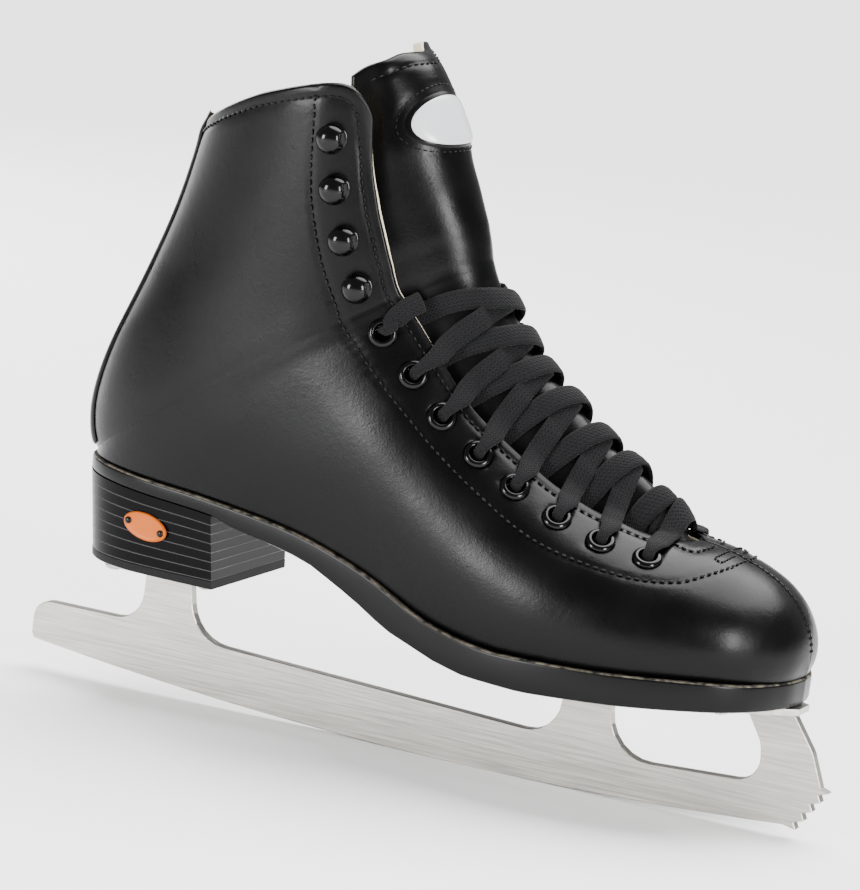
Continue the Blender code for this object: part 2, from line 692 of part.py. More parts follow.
def eyelets_and_hooks():
    depth = LEATHER + LINING + GAP
    ring = [(EYELET_HOLE, 1.0), (3.4, 1.35), (4.4, 1.0), (4.9, .35), (3.05, .3), (3.05, -depth - .75),
            (3.9, -depth - .75), (3.9, -depth - 1.1), (EYELET_HOLE, -depth - 1.1)]
    ball = [(0, 7.4), (2.6, 7.0), (4.3, 5.9), (5.1, 4.2), (4.8, 2.6), (3.7, 1.1), (3.7, .3), (1.7, .3),
            (1.7, -depth - .7), (3.0, -depth - .7), (3.0, -depth - 1.1), (0, -depth - 1.1)]
    for side, word in ((-1, "right"), (1, "left")):
        eyelets, hooks = lacing_frames(side)
        for k, (point, out) in enumerate(eyelets):
            turned(f"eyelet_{word}_{k + 1}", ring, point, out, "black_metal", 10, ring=True)
        for k, (point, out) in enumerate(hooks):
            hook = turned(f"hook_{word}_{k + 1}", ball, point, out, "black_metal", 12)
            cut(hook, [hook_slot(f"slot_{word}_{k}", point, out, side)])


def hook_slot(name, point, out, side):
    """Slot under the ball's front that catches the lace; it opens toward the tongue."""
    forward = unit(np.array((1.0, -.55 * side, .1)) - out * np.dot((1.0, -.55 * side, .1), out))
    across = np.cross(out, forward)
    verts = [point + forward * f + across * a + out * h
             for f in (1.2, 8.0) for a in (-7.0, 7.0) for h in (1.3, 3.6)]
    faces = [(0, 1, 3, 2), (4, 6, 7, 5), (0, 4, 5, 1), (2, 3, 7, 6), (0, 2, 6, 4), (1, 5, 7, 3)]
    return new_object(name, verts, faces, None)


# ---------------------------------------------------------------- upper
ROWS = [0, .35, 1, 2, 3, 4, 5, 5.8, THROAT_S, 6.6, 7, 8, 9, 10, 11, 12, 13, 14, 15, 16, 17, 18, 19, 20,
        21, 22, 23, 23.6, 24]


def column_v(s, share):
    """v of a grid column, from the facing edge (0) to the edge (1)."""
    start = facing_v(s)
    return round(start + (1 - start) * share, 5)


def upper_sheet(name, sides, rows, shares, out, inn, slot, seam_gap=0.0):
    """Shell over part of the boot's surface, welded where both halves meet."""
    def key_for(side):
        def key(i, j):
            s, share = rows[i], shares[j]
            on_middle = seam_gap == 0 and (s == 0 or (share == 0 and s <= THROAT_S)
                                           or (share == 1 and s >= HEEL_S))
            return (i, j, 0 if on_middle else side)
        return key
    cells = [cell for side in sides for cell in grid_cells(len(rows), len(shares), key_for(side))]

    def place(key, layer):
        i, j, side = key
        s = rows[i]
        v = column_v(s, shares[j])
        depth = (inn if layer else out)(s, v)
        point = offset_skin(s, v, side or 1, -depth, seam_gap)
        if side == 0:
            point[1] = centre_y(point[0])
        return point
    return sheet(name, cells, place, slot)


def upper():
    shares = [0, .07, .15, .25, .36, .47, .58, .68, .77, .85, .92, 1]
    for side, word in ((-1, "right"), (1, "left")):
        quarter = upper_sheet(f"quarter_{word}", (side,), ROWS, shares,
                              lambda s, v: 0.0, lambda s, v: LEATHER, "leather", seam_gap=.2)
        cut(quarter, hole_cutters("quarter_hole", side, 3.35, 2.1))
    lining = upper_sheet("lining", (-1, 1), [s for s in ROWS if s != .35], shares,
                         lining_depth, lambda s, v: lining_depth(s, v) + LINING, "lining")
    for side in (-1, 1):
        cut(lining, hole_cutters("lining_hole", side, 3.35, 2.1))
    start, end = LEATHER + GAP, LEATHER + GAP + STIFFENER - .1
    upper_sheet("toe_puff", (-1, 1), [0, 1, 2, 3, 4, 5], shares,
                lambda s, v: start, lambda s, v: end, "board")
    upper_sheet("heel_counter", (-1, 1), [13, 14, 15, 16, 17, 18, 19, 20, 21], [.58, .68, .77, .85, .92, 1],
                lambda s, v: start, lambda s, v: end, "board")


def backstay():
    """Narrow piping over the back seam, with a small knob at the collar."""
    rows = [18.3, 19, 20, 21, 22, 23, 23.7, 24.05]
    thick = {23.7: 2.0, 24.05: 2.6}
    def place(key, layer):
        i, j, side = key
        s = rows[i]
        v = 1 - .022 * abs(j)
        out = GAP if layer else thick.get(s, 1.5) * (1 - .25 * abs(j))
        point = offset_skin(s, v, side or 1, out)
        if side == 0:
            point[1] = 0.0
        return point
    cells = []
    for side in (-1, 1):
        cells += grid_cells(len(rows), 3, lambda i, j: (i, j, side if j else 0))
    sheet("backstay_piping", cells, place, "leather")


# ---------------------------------------------------------------- tongue
def tongue_sheet(name, rows, half_width, out, thick, slot="leather"):
    shares = [-1, -.85, -.72, -.6, -.5, -.4, -.3, -.2, -.1, 0, .1, .2, .3, .4, .5, .6, .72, .85, 1]
    def place(key, layer):
        s, w = rows[key[0]], shares[key[1]] * half_width(rows[key[0]])
        return tongue_point(s, w, out - (thick if layer else 0))
    return sheet(name, grid_cells(len(rows), len(shares), lambda i, j: (i, j)), place, slot)


def facing_half(s):
    return float(np.interp(s, FACING_S, FACING_Y))


def tongue():
    lower = lambda s: min(facing_half(s), 25.0) + 9.0 if s >= 7 else 17.0 + 4.5 * (s - 6)
    lower_rows = [6.4, 6.7, 7, 7.25, 7.5, 8, 8.5, 9, 9.5, 10, 10.5, 11, 11.5, 12, 13, 14.5, 16.3]
    tongue_sheet("tongue_lower", lower_rows, lower, 0, TONGUE)
    upper = lambda s: float(np.interp(s, (19.2, 20, 21, 22, 23, 24.3), (24, 28, 31, 33.5, 35, 35)))
    move_origin(tongue_sheet("tongue_upper", [19.2, 20, 21, 22, 22.7, 23.2, 23.6, 24, 24.3], upper, 0, TONGUE))
    tongue_badge()


def move_origin(obj):
    """Origin of a moving piece on the hinge line of the tongue."""
    shift = Vector(TONGUE_HINGE) * MM - obj.location
    obj.data.transform(Matrix.Translation(-shift))
    obj.location += shift


def tongue_badge():
    """Plain oval badge bent round the front of the tongue."""
    middle, tall, wide = 23.36, .34, 18.5
    around = 24
    def place(key, layer):
        ring, k = key
        turn = 2 * math.pi * k / around
        s = middle + tall * math.sin(turn) * ring / 3
        w = wide * math.cos(turn) * ring / 3
        return tongue_point(s, w, 2.5 * GAP if layer else (2.0 if ring < 3 else 1.5))
    def key(i, j):
        return (i, j % around if i else 0)
    move_origin(sheet("tongue_badge", grid_cells(4, around + 1, key), place, "badge_white"))


# ---------------------------------------------------------------- lace
LACE_LIFT = LACE_THICK / 2 + 1.3        # lace centre over what it lies on
CROSS_LIFT = LACE_THICK + 1.6            # extra where one strap lies on another
BODY_RISE = 1.25                        # lace centre over the leather of the facing
ZONE = (.27, .38)                       # straps cross inside the first share of the half width
BUNCHED = 3.4                           # lace width in an eyelet


def lace_point(s, w, rise):
    """Point at a sideways distance w and a height over the boot surface."""
    side = -1 if w < 0 else 1
    v = math.asin(min(1.0, abs(w) / station(s)[4])) / math.pi
    return raw_offset(s, v, side, rise)


def eyelet_spots(side):
    eyelets, _ = lacing_places()
    return [(s, side * raw_skin(s, inward_v(s, d))[1]) for s, d in eyelets]


def strap_height(half, side, outside, upper):
    """Height function of a strap that starts on side; an upper strap crosses over the other."""
    def height(s, w):
        zone = 1 - smooth_step((abs(w) / half - ZONE[0]) / (ZONE[1] - ZONE[0]))
        on_tongue = tongue_rise(s, w) + LACE_LIFT
        if w * side > 0 and outside:
            return max(on_tongue + CROSS_LIFT * max(upper, 1 - zone), BODY_RISE)
        if w * side > 0 or not upper:
            return on_tongue + CROSS_LIFT * upper * zone
        below = max(on_tongue, BODY_RISE) if outside else on_tongue
        return (below + CROSS_LIFT) * zone + on_tongue * (1 - zone)
    return height


OUT_OF_EYELET = ((0, -1.6), (0, .3), (.5, 1.7), (1.7, 2.4), (3.8, 2.45), (6.2, 2.1))
INTO_EYELET = ((2.4, -5.75), (.9, -5.6), (.1, -4.6), (0, -3.2))


def lace_width(distance):
    """The lace bunches up in an eyelet and spreads within a few millimetres of it."""
    return BUNCHED + (LACE_WIDTH - BUNCHED) * smooth_step((abs(distance) - 1.0) / 6.0)


def crossing(side, k, samples=22):
    """Strap from eyelet k of one side to eyelet k + 1 of the other: (s, w, rise, width, drape)."""
    s_from, w_from = eyelet_spots(side)[k]
    s_to, w_to = eyelet_spots(-side)[k + 1]
    outside = k > 0
    height = strap_height((abs(w_from) + abs(w_to)) / 2, side, outside, side > 0)
    steps, first = (OUT_OF_EYELET, 8.6) if outside else (INTO_EYELET[::-1], 5.0)
    path = [(s_from, w_from - side * d, rise, lace_width(d), None) for d, rise in steps]
    for w in np.linspace(w_from - side * first, w_to + side * 5.2, samples):
        t = (w - w_from) / (w_to - w_from)
        s = s_from + (s_to - s_from) * (t - .1 * math.sin(2 * math.pi * t))
        path.append((s, w, height(s, w), lace_width(min(abs(w - w_from), abs(w - w_to))), height))
    path += [(s_to, w_to + side * d, rise, lace_width(d), None) for d, rise in INTO_EYELET]
    return path


def bottom_bar(samples=17):
    """The lace's middle, straight across the bottom pair of eyelets on the outside."""
    s, w_right = eyelet_spots(-1)[0]
    w_left = eyelet_spots(1)[0][1]
    height = lambda s, w: max(tongue_rise(s, w) + LACE_LIFT + 2 * CROSS_LIFT, BODY_RISE)
    path = [(s, w_right + d, rise, lace_width(d), None) for d, rise in OUT_OF_EYELET]
    for w in np.linspace(w_right + 8.6, w_left - 8.6, samples):
        path.append((s, w, height(s, w), lace_width(min(w - w_right, w_left - w)), height))
    return path + [(s, w_left - d, rise, lace_width(d), None) for d, rise in reversed(OUT_OF_EYELET)]


def lace_run(side):
    """All crossings of the lace end that starts at the bottom eyelet of one side."""
    path = []
    for k in range(EYELETS - 1):
        path += crossing(side, k)
        side = -side
    return path


def rings(path):
    """Four corners of the ribbon at each (s, w, rise, width, drape) of a path."""
    centres = [lace_point(s, w, rise) for s, w, rise, _, _ in path]
    last, out, before = len(path) - 1, [], None
    for k, (s, w, rise, width, drape) in enumerate(path):
        up = unit(lace_point(s, w, rise + 1) - centres[k])
        run = unit(centres[min(k + 1, last)] - centres[max(k - 1, 0)])
        flat = unit(run - up * np.dot(run, up))
        across = np.cross(flat, up)
        if abs(np.dot(run, up)) > .8 and before is not None:
            across = before
        across = unit(across)
        if before is not None and np.dot(across, before) < 0:
            across = -across
        before = across
        by_s = (lace_point(s + .05, w, rise) - centres[k]) / .05
        by_w = (lace_point(s, w + .5, rise) - centres[k]) / .5
        ds, dw = np.linalg.lstsq(np.array((by_s, by_w)).T, across * width / 2, rcond=None)[0]
        thick = up if abs(np.dot(run, up)) < .6 else unit(np.cross(across, run))
        if np.dot(thick, np.cross(across, run)) < 0:
            thick = -thick
        corners = []
        for a, b in ((-1, -1), (1, -1), (1, 1), (-1, 1)):
            if drape:
                height = drape(s + a * ds, w + a * dw) + LACE_THICK / 2 * b * np.sign(np.dot(thick, up))
                corners.append(lace_point(s + a * ds, w + a * dw, height))
            else:
                corners.append(centres[k] + across * a * width / 2 + thick * b * LACE_THICK / 2)
        out.append(corners)
    return out


def floor_z(x):
    """Top of the footbed under the lace ends."""
    xs = [station(s)[2] for s in range(HEEL_S, -1, -1)]
    zs = [station(s)[3] + 7.0 for s in range(HEEL_S, -1, -1)]
    return float(np.interp(x, xs, zs))


def smooth_route(points, spacing):
    """Points every spacing along a smooth curve through the given ones."""
    points = [np.array(p, float) for p in points]
    ends = [2 * points[0] - points[1]] + points + [2 * points[-1] - points[-2]]
    dense = []
    for a, b, c, d in zip(ends, ends[1:], ends[2:], ends[3:]):
        for t in np.linspace(0, 1, 24, endpoint=False):
            dense.append(.5 * (2 * b + (c - a) * t + (2 * a - 5 * b + 4 * c - d) * t ** 2
                               + (3 * b - 3 * c - a + d) * t ** 3))
    dense.append(points[-1])
    steps = [0.0]
    for a, b in zip(dense, dense[1:]):
        steps.append(steps[-1] + np.linalg.norm(b - a))
    wanted = np.linspace(0, steps[-1], max(2, int(round(steps[-1] / spacing)) + 1))
    dense = np.array(dense)
    return [np.array([np.interp(a, steps, dense[:, c]) for c in range(3)]) for a in wanted]


# plan route of each lace end over the footbed, from where it comes down the lining
FLOOR_RIGHT = ((-36, -15), (-18, -12), (8, -14), (34, -20), (58, -24), (78, -22), (91, -10), (89, 5),
               (76, 11), (62, 10))
FLOOR_LEFT = ((-94, 17), (-103, 7), (-103, -4), (-97, -12), (-80, -15), (-63, -11), (-48, 0), (-30, 8), (-8, 14),
              (14, 19), (36, 24), (56, 27), (66, 27))


def lace_end(side):
    """A lace end: out of the top eyelet, over the facing edge and down onto the footbed."""
    s_top, w_top = eyelet_spots(side)[-1]
    fold_s = 16.2
    half = facing_half(fold_s)
    path = [(s_top, w_top - side * d, rise, lace_width(d)) for d, rise in ((0, .5), (.4, 1.9), (1.5, 2.7))]
    for share in (.3, .55, .8, .97):
        w = abs(w_top) + (half + .3 - abs(w_top)) * share
        rise = 2.75 if share < .5 else BODY_RISE + .2
        path.append((s_top + (fold_s - s_top) * share, side * w, rise, lace_width(12 * share)))
    fold = ((-1.4, 1.1), (-2.3, -.4), (-2.4, -2.4), (-1.5, -4.3), (.6, -5.35), (3.2, -5.6), (6.0, -5.6))
    path += [(fold_s, side * (half + d), rise, LACE_WIDTH) for d, rise in fold]
    samples = []
    for s, w, rise, width in path:
        point = lace_point(s, w, rise)
        samples.append((point, unit(lace_point(s, w, rise + 1) - point), width))
    end_s, end_v = (12.9, .84) if side < 0 else (14.7, .82)
    start_v = math.asin((half + 6.0) / station(fold_s)[4]) / math.pi
    for share in np.linspace(.12, .94, 9):
        s, v = fold_s + (end_s - fold_s) * share, start_v + (end_v - start_v) * share
        rise = -5.6 - 2.2 * smooth_step((share - .1) / .3)
        up = normal(s, v, side)
        samples.append((offset_skin(s, v, side, rise), up, LACE_WIDTH))
    plan = FLOOR_RIGHT if side < 0 else FLOOR_LEFT
    floor = [(x, y, floor_z(x) + LACE_LIFT + .8) for x, y in plan]
    floor[-1] = floor[-1][:2] + (floor[-1][2] + 1.0,)
    route = smooth_route([samples[-1][0]] + floor, 7.5)[1:]
    samples += [(p, np.array((0.0, 0, 1)), LACE_WIDTH - .6) for p in route]
    return samples


def ribbon(name, samples, slot="lace"):
    """Flat band through (point, outward, width) samples."""
    count = len(samples)
    points = [p for p, _, _ in samples]
    widths = []
    for k, (point, up, _) in enumerate(samples):
        run = unit(points[min(k + 1, count - 1)] - points[max(k - 1, 0)])
        across = np.cross(run, up)
        widths.append(unit(across) if np.linalg.norm(across) > .45 else None)
    known = [k for k, a in enumerate(widths) if a is not None]
    for before, after in zip(known, known[1:]):
        if np.dot(widths[before], widths[after]) < 0:
            widths[after] = -widths[after]
        for k in range(before + 1, after):
            share = (k - before) / (after - before)
            widths[k] = unit(widths[before] * (1 - share) + widths[after] * share)
    for k in range(count):
        if widths[k] is None:
            widths[k] = widths[known[0]] if k < known[0] else widths[known[-1]]
    corners = []
    for k, (point, _, width) in enumerate(samples):
        run = unit(points[min(k + 1, count - 1)] - points[max(k - 1, 0)])
        across = unit(widths[k] - run * np.dot(widths[k], run))
        thick = unit(np.cross(run, across))
        corners.append([point + across * a * width / 2 + thick * b * LACE_THICK / 2
                        for a, b in ((-1, -1), (1, -1), (1, 1), (-1, 1))])
    return tube(name, corners, slot)


def tube(name, corners, slot="lace"):
    """Closed body through rings of four corners."""
    count = len(corners)
    verts = [corner for ring in corners for corner in ring]
    faces = []
    for k in range(count - 1):
        faces += [(4 * k + c, 4 * k + (c + 1) % 4, 4 * k + (c + 1) % 4 + 4, 4 * k + c + 4) for c in range(4)]
    faces += [(0, 1, 2, 3), tuple(range(4 * count - 4, 4 * count))]
    return new_object(name, verts, faces, slot)


def laces():
    right, left = lace_run(-1), lace_run(1)
    tube("lace", rings(list(reversed(right)) + bottom_bar() + left))
    for side, word in ((-1, "right"), (1, "left")):
        samples = lace_end(side)
        ribbon(f"lace_end_{word}", samples)
        last, before = samples[-1][0], samples[-2][0]
        run = unit(last - before)
        tip = [(0, 0), (1.5, 0), (1.7, 1), (1.7, 19), (1.2, 21), (0, 21.4)]
        turned(f"aglet_{word}", tip, last + run * GAP, run, "clear_tip", 8)


blade_runner()
blade_plates()
outsole()
heel()
heel_badge()
insoles()
upper()
backstay()
eyelets_and_hooks()
tongue()
laces()
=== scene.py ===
"""Looks of the figure skate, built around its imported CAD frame.

Lengths inside the shape functions are in millimetres, in the CAD's frame, and become metres in
new_object(). +X is the toe, +Y the skater's left (the far side in the main view), +Z up.
"""
import json
import math
import random
from functools import lru_cache

import bmesh
import bpy
import numpy as np
from mathutils import Matrix, Vector
from mathutils.kdtree import KDTree


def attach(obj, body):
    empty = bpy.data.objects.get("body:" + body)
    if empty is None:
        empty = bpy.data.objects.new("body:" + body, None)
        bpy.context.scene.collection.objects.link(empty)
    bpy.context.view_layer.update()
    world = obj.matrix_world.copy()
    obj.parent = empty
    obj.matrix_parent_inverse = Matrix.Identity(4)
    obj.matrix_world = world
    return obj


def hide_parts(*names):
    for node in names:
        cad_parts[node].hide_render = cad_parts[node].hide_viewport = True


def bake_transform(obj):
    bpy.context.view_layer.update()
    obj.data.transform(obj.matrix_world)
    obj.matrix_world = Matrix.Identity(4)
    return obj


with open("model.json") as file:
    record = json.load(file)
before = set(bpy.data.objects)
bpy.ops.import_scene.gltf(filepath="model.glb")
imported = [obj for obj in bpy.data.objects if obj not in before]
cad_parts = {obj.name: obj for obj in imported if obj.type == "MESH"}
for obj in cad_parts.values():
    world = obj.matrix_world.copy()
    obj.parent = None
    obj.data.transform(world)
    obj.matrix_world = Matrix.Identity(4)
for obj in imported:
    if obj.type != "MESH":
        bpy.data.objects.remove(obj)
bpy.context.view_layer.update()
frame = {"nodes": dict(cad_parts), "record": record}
random.seed(7)

MM = 0.001
THROAT_S = 6.45                 # station where the facings part
HEEL_S = 18                     # station of the heel's back corner
TOP_S = 24                      # station of the collar
TOE_TURN = (75.0, 65.0, 1.6)    # the toe turns inward: from this x, over this length, this far
COLLAR_FROM_S = 21.5            # above it the stations bend toward the collar line
COLLAR_ROW = 28.0               # height of one station at the collar
UNDER_S, UNDER = (23, 24.4), (-6.8, -11.5)    # tongue where it lies under the facings
HEEL_BOTTOM, TOP_LIFT, HEEL_SEAT = 47.3, 3.0, 5.0
GAP = 0.3                       # between the upper and the sole under it
EYELETS = 8
LACE_WIDTH, LACE_THICK = 7.2, 1.5
LACE_LIFT = LACE_THICK / 2 + .5     # the lace's middle over the tongue
CROSS_LIFT = LACE_THICK + 1.0       # a strap over the strap that it crosses
BODY_RISE = 1.15                # the lace's middle over the quarters
ZONE = (.27, .38)               # share of a strap's half over which it climbs to a crossing
BUNCHED = 3.9                   # lace width in an eyelet
SHELL = 3.4                     # leather and lining together
LEATHER = 1.9
EYELET_HOLE = 3.3
QUARTER_REACH = 120.0           # about the distance from the facing edge to the sole or the back seam
COLLAR_EDGE_ROW, TONGUE_EDGE_ROW = 27.0, 26.0   # height of one station beside those edges

# Boot stations from the toe tip, round the heel, to the top of the shaft. Each one is a plane
# across the boot: ridge x, z (front or top), edge x, z (feather line, then back seam), widest
# half width, half width at the edge, depth of the widest point (0 ridge .. 1 edge), roundness.
STATIONS = np.array((
    (136.0, 57.0, 134.8, 54.2, 0.0, 0.0, .60, 2.0),
    (136.2, 62.8, 133.6, 54.1, 9.6, 9.0, .65, 2.0),
    (134.9, 68.8, 131.3, 54.0, 16.2, 15.3, .70, 2.0),
    (131.9, 74.6, 127.6, 53.9, 22.4, 21.3, .74, 2.0),
    (127.0, 80.3, 122.3, 53.8, 28.4, 27.2, .76, 2.0),
    (118.6, 86.0, 113.1, 53.8, 34.7, 33.4, .78, 2.0),
    (102.9, 91.6, 97.4, 53.0, 40.6, 38.9, .78, 2.0),
    (82.9, 94.7, 78.7, 51.9, 44.2, 42.2, .76, 2.0),
    (63.3, 101.2, 57.0, 51.2, 45.6, 43.2, .74, 2.0),
    (48.3, 108.8, 37.0, 51.3, 44.6, 41.4, .70, 2.0),
    (33.0, 120.0, 14.0, 55.3, 42.3, 37.0, .65, 2.0),
    (19.5, 131.5, -12.0, 65.5, 40.0, 32.3, .60, 2.1),
    (11.3, 144.4, -40.0, 73.3, 38.5, 29.3, .55, 2.2),
    (6.6, 156.0, -72.0, 78.0, 37.0, 28.6, .50, 2.3),
    (5.0, 163.2, -98.0, 80.3, 36.3, 27.6, .46, 2.3),
    (4.6, 166.6, -112.5, 81.7, 36.0, 24.6, .44, 2.3),
    (4.4, 168.8, -122.0, 82.5, 36.0, 18.8, .42, 2.3),
    (4.2, 170.4, -128.0, 82.9, 36.0, 10.0, .41, 2.3),
    (3.9, 172.0, -130.2, 83.3, 36.0, 0.0, .40, 2.3),
    (3.4, 174.6, -132.6, 90.0, 36.0, 0.0, .39, 2.3),
    (2.2, 179.0, -133.4, 101.0, 36.0, 0.0, .38, 2.2),
    (-0.3, 184.2, -129.5, 119.0, 36.3, 0.0, .37, 2.1),
    (-6.8, 194.0, -118.8, 146.0, 37.0, 0.0, .36, 2.0),
    (-12.8, 208.0, -108.8, 173.5, 37.8, 0.0, .36, 2.0),
    (-16.5, 234.0, -102.0, 201.6, 38.5, 0.0, .36, 2.0),
))

# half width between the facings, by station
FACING_S = (THROAT_S, 6.6, 7, 8, 9, 10, 11, 12, 13, 14, 16, 18, 20, 22, 24)
FACING_Y = (0, 6.5, 12.0, 16.5, 18.8, 20.5, 21.8, 23, 24, 25, 26, 26.8, 28, 30, 31.5)

# height of the tongue's middle over the boot surface, by station
LIFT_S = (5, 6.45, 6.6, 7, 7.5, 8, 9, 10, 11, 12, 13, 14, 16, 18, 20, 21, 22, 23, 23.5, 24, 24.4)
LIFT = (-7, -6.9, -3.2, 4.0, 8.8, 11.4, 12.4, 13.2, 12.5, 10.6, 7.8, 5.0, 3.0, 2.2, 2.0, 2.6, 4.6, 5.0,
        1.2, -5.5, -12.0)

# the lace at an eyelet: distance from it, height over the surface
OUT_OF_EYELET = ((0, -1.6), (0, .3), (.5, 1.7), (1.7, 2.4), (3.8, 2.45), (6.2, 2.1))
INTO_EYELET = ((2.4, -5.75), (.9, -5.6), (.1, -4.6), (0, -3.2))

# plan route (x, y) of each lace end over the footbed, from where it comes down the lining
FLOOR_RIGHT = ((-36, -15), (-18, -12), (8, -14), (34, -20), (58, -24), (78, -22), (91, -10), (89, 5),
               (76, 11), (62, 10))
FLOOR_LEFT = ((-94, 17), (-103, 7), (-103, -4), (-97, -12), (-80, -15), (-63, -11), (-48, 0), (-30, 8),
              (-8, 14), (14, 19), (36, 24), (56, 27), (66, 27))


# ---------------------------------------------------------------- boot surface
@lru_cache(maxsize=None)
def lift_at(s):
    """LIFT at station s, on a smooth curve without overshoot."""
    last = len(LIFT_S) - 1
    i = int(np.clip(np.searchsorted(LIFT_S, s) - 1, 0, last - 1))
    steps = [(LIFT[k + 1] - LIFT[k]) / (LIFT_S[k + 1] - LIFT_S[k]) for k in range(last)]

    def slope(k):
        if k in (0, last) or steps[k - 1] * steps[k] <= 0:
            return 0.0
        return 2 * steps[k - 1] * steps[k] / (steps[k - 1] + steps[k])
    width = LIFT_S[i + 1] - LIFT_S[i]
    t = min(1.0, max(0.0, (s - LIFT_S[i]) / width))
    return (LIFT[i] * (1 + 2 * t) * (1 - t) ** 2 + LIFT[i + 1] * t * t * (3 - 2 * t)
            + width * t * (1 - t) * (slope(i) * (1 - t) - slope(i + 1) * t))


@lru_cache(maxsize=None)
def station(s):
    """Station values at s, on a smooth curve through STATIONS."""
    i = max(0, min(int(math.floor(s)), TOP_S - 1))
    t = s - i
    last = len(STATIONS) - 1
    before = STATIONS[i - 1] if i > 0 else 2 * STATIONS[0] - STATIONS[1]
    after = STATIONS[i + 2] if i + 2 <= last else 2 * STATIONS[last] - STATIONS[last - 1]
    here, there = STATIONS[i], STATIONS[i + 1]
    row = 0.5 * (2 * here + (there - before) * t
                 + (2 * before - 5 * here + 4 * there - after) * t ** 2
                 + (3 * here - 3 * there - before + after) * t ** 3)
    row[4] = max(row[4], 0.0)
    row[5] = min(max(row[5], 0.0), row[4])
    if s >= HEEL_S:
        row[5] = 0.0
    return tuple(row)


def centre_y(x):
    """Sideways place of the boot's centre plane: the toe turns inward."""
    start, length, shift = TOE_TURN
    return shift * max(0.0, (x - start) / length) ** 2


def raw_skin(s, v):
    """x, half width and z of the boot surface; v runs from the ridge (0) to the edge (1)."""
    ridge_x, ridge_z, edge_x, edge_z, wide, edge, depth, power = station(s)
    if v <= 0.5:
        q = depth * (1 - math.cos(v * math.pi))
        y = wide * math.sin(v * math.pi)
    else:
        t = 2 * v - 1
        closing = 1 - edge / wide if wide > 0 else 0
        u = t * (1 - closing) + math.sin(t * math.pi / 2) * closing
        q = depth + (1 - depth) * u
        y = max(0.0, wide ** power - (wide ** power - edge ** power) * u ** power) ** (1 / power)
    return np.array((ridge_x + (edge_x - ridge_x) * q, y, ridge_z + (edge_z - ridge_z) * q))


def facing_half(s):
    """Half width between the facings at station s."""
    return float(np.interp(s, FACING_S, FACING_Y))


def facing_v(s):
    """v of the facing edge."""
    wide = station(s)[4]
    return math.asin(min(1.0, max(0.0, facing_half(s) / wide))) / math.pi if wide > 0 else 0.0


@lru_cache(maxsize=None)
def collar_arc(v):
    """Distance round the collar from the facing edge to v."""
    path = [raw_skin(TOP_S, a) for a in np.linspace(facing_v(TOP_S), max(v, facing_v(TOP_S)), 12)]
    return sum(np.linalg.norm(b - a) for a, b in zip(path, path[1:]))


@lru_cache(maxsize=None)
def collar_s(v):
    """Station that the collar line reaches at v: a low arch with a rounded front corner."""
    corner = 13.0
    t = max(0.0, (v - facing_v(TOP_S)) / (1 - facing_v(TOP_S)))
    arc = collar_arc(v)
    rise = 5.2 * math.sin(math.pi * t ** 0.8) ** 1.2 - 3.0 * max(0.0, 1 - arc / 45.0)
    drop = corner - math.sqrt(corner ** 2 - (corner - arc) ** 2) if arc < corner else 0.0
    return TOP_S + (rise - drop) / COLLAR_ROW


def skin(s, v, side):
    """Point on the outer leather; side is -1 for the right (outer) half, +1 for the left."""
    if s > COLLAR_FROM_S:
        s = COLLAR_FROM_S + (s - COLLAR_FROM_S) * (collar_s(v) - COLLAR_FROM_S) / (TOP_S - COLLAR_FROM_S)
    x, y, z = raw_skin(s, v)
    return np.array((x, centre_y(x) + side * y, z))


def mirrored(s, v, side):
    """skin(), carried on past the ridge, the back seam and the toe tip onto the other half."""
    if v < 0:
        return skin(s, -v, -side)
    if v > 1:
        return skin(s, 2 - v, -side) if s >= HEEL_S else skin(s, 1, side)
    if s < 0:
        return skin(-s, v, -side)
    return skin(s, v, side)


def unit(vector):
    return vector / max(np.linalg.norm(vector), 1e-9)


@lru_cache(maxsize=None)
def normal(s, v, side):
    """Outward direction of the boot surface."""
    if s < .1:
        return np.array((1.0, 0.0, 0.0))
    across = mirrored(s, v + .01, side) - mirrored(s, v - .01, side)
    along = mirrored(min(s + .02, TOP_S + .4), v, side) - mirrored(s - .02, v, side)
    out = unit(np.cross(across, along))
    ridge_x, ridge_z, edge_x, edge_z, _, _, depth, _ = station(s)
    core_x = min(ridge_x + (edge_x - ridge_x) * depth, 118.0)
    core = np.array((core_x, centre_y(core_x), ridge_z + (edge_z - ridge_z) * depth))
    return out if np.dot(out, skin(s, v, side) - core) > 0 else -out


def offset_skin(s, v, side, out, seam_gap=0.0):
    """Point at a distance out from the leather, kept on its own side of the centre plane."""
    point = skin(s, v, side) + normal(s, v, side) * out
    middle = centre_y(point[0])
    point[1] = middle + side * max(side * (point[1] - middle), seam_gap)
    return point


def smooth_step(value):
    value = min(1.0, max(0.0, value))
    return value * value * (3 - 2 * value)


def tongue_rise(s, half):
    """Tongue surface over the boot surface, at a sideways distance half from the middle."""
    lift = lift_at(round(float(s), 4))
    under = float(np.interp(s, UNDER_S, UNDER))
    reach = 0.94 * max(facing_half(s), 10.0)
    bump = max(0.0, math.cos(math.pi / 2 * min(1.0, abs(half) / reach))) ** 1.2
    return under + (lift - under) * bump


def tongue_point(s, w, out):
    """Point of the tongue; w is the signed sideways distance from the middle."""
    return lace_point(s, w, tongue_rise(s, w) + out)


def raw_offset(s, v, side, out):
    """Like offset_skin(), but without the bend of the collar line."""
    def place(a, b, c):
        if b < 0:
            b, c = -b, -c
        x, y, z = raw_skin(a, b)
        return np.array((x, centre_y(x) + c * y, z))
    across = place(s, v + .01, side) - place(s, v - .01, side)
    along = place(s + .02, v, side) - place(s - .02, v, side)
    out_dir = unit(np.cross(across, along))
    if np.dot(out_dir, np.array((1.0, 1.0 * side, 0.4))) < 0:
        out_dir = -out_dir
    return place(s, v, side) + out_dir * out


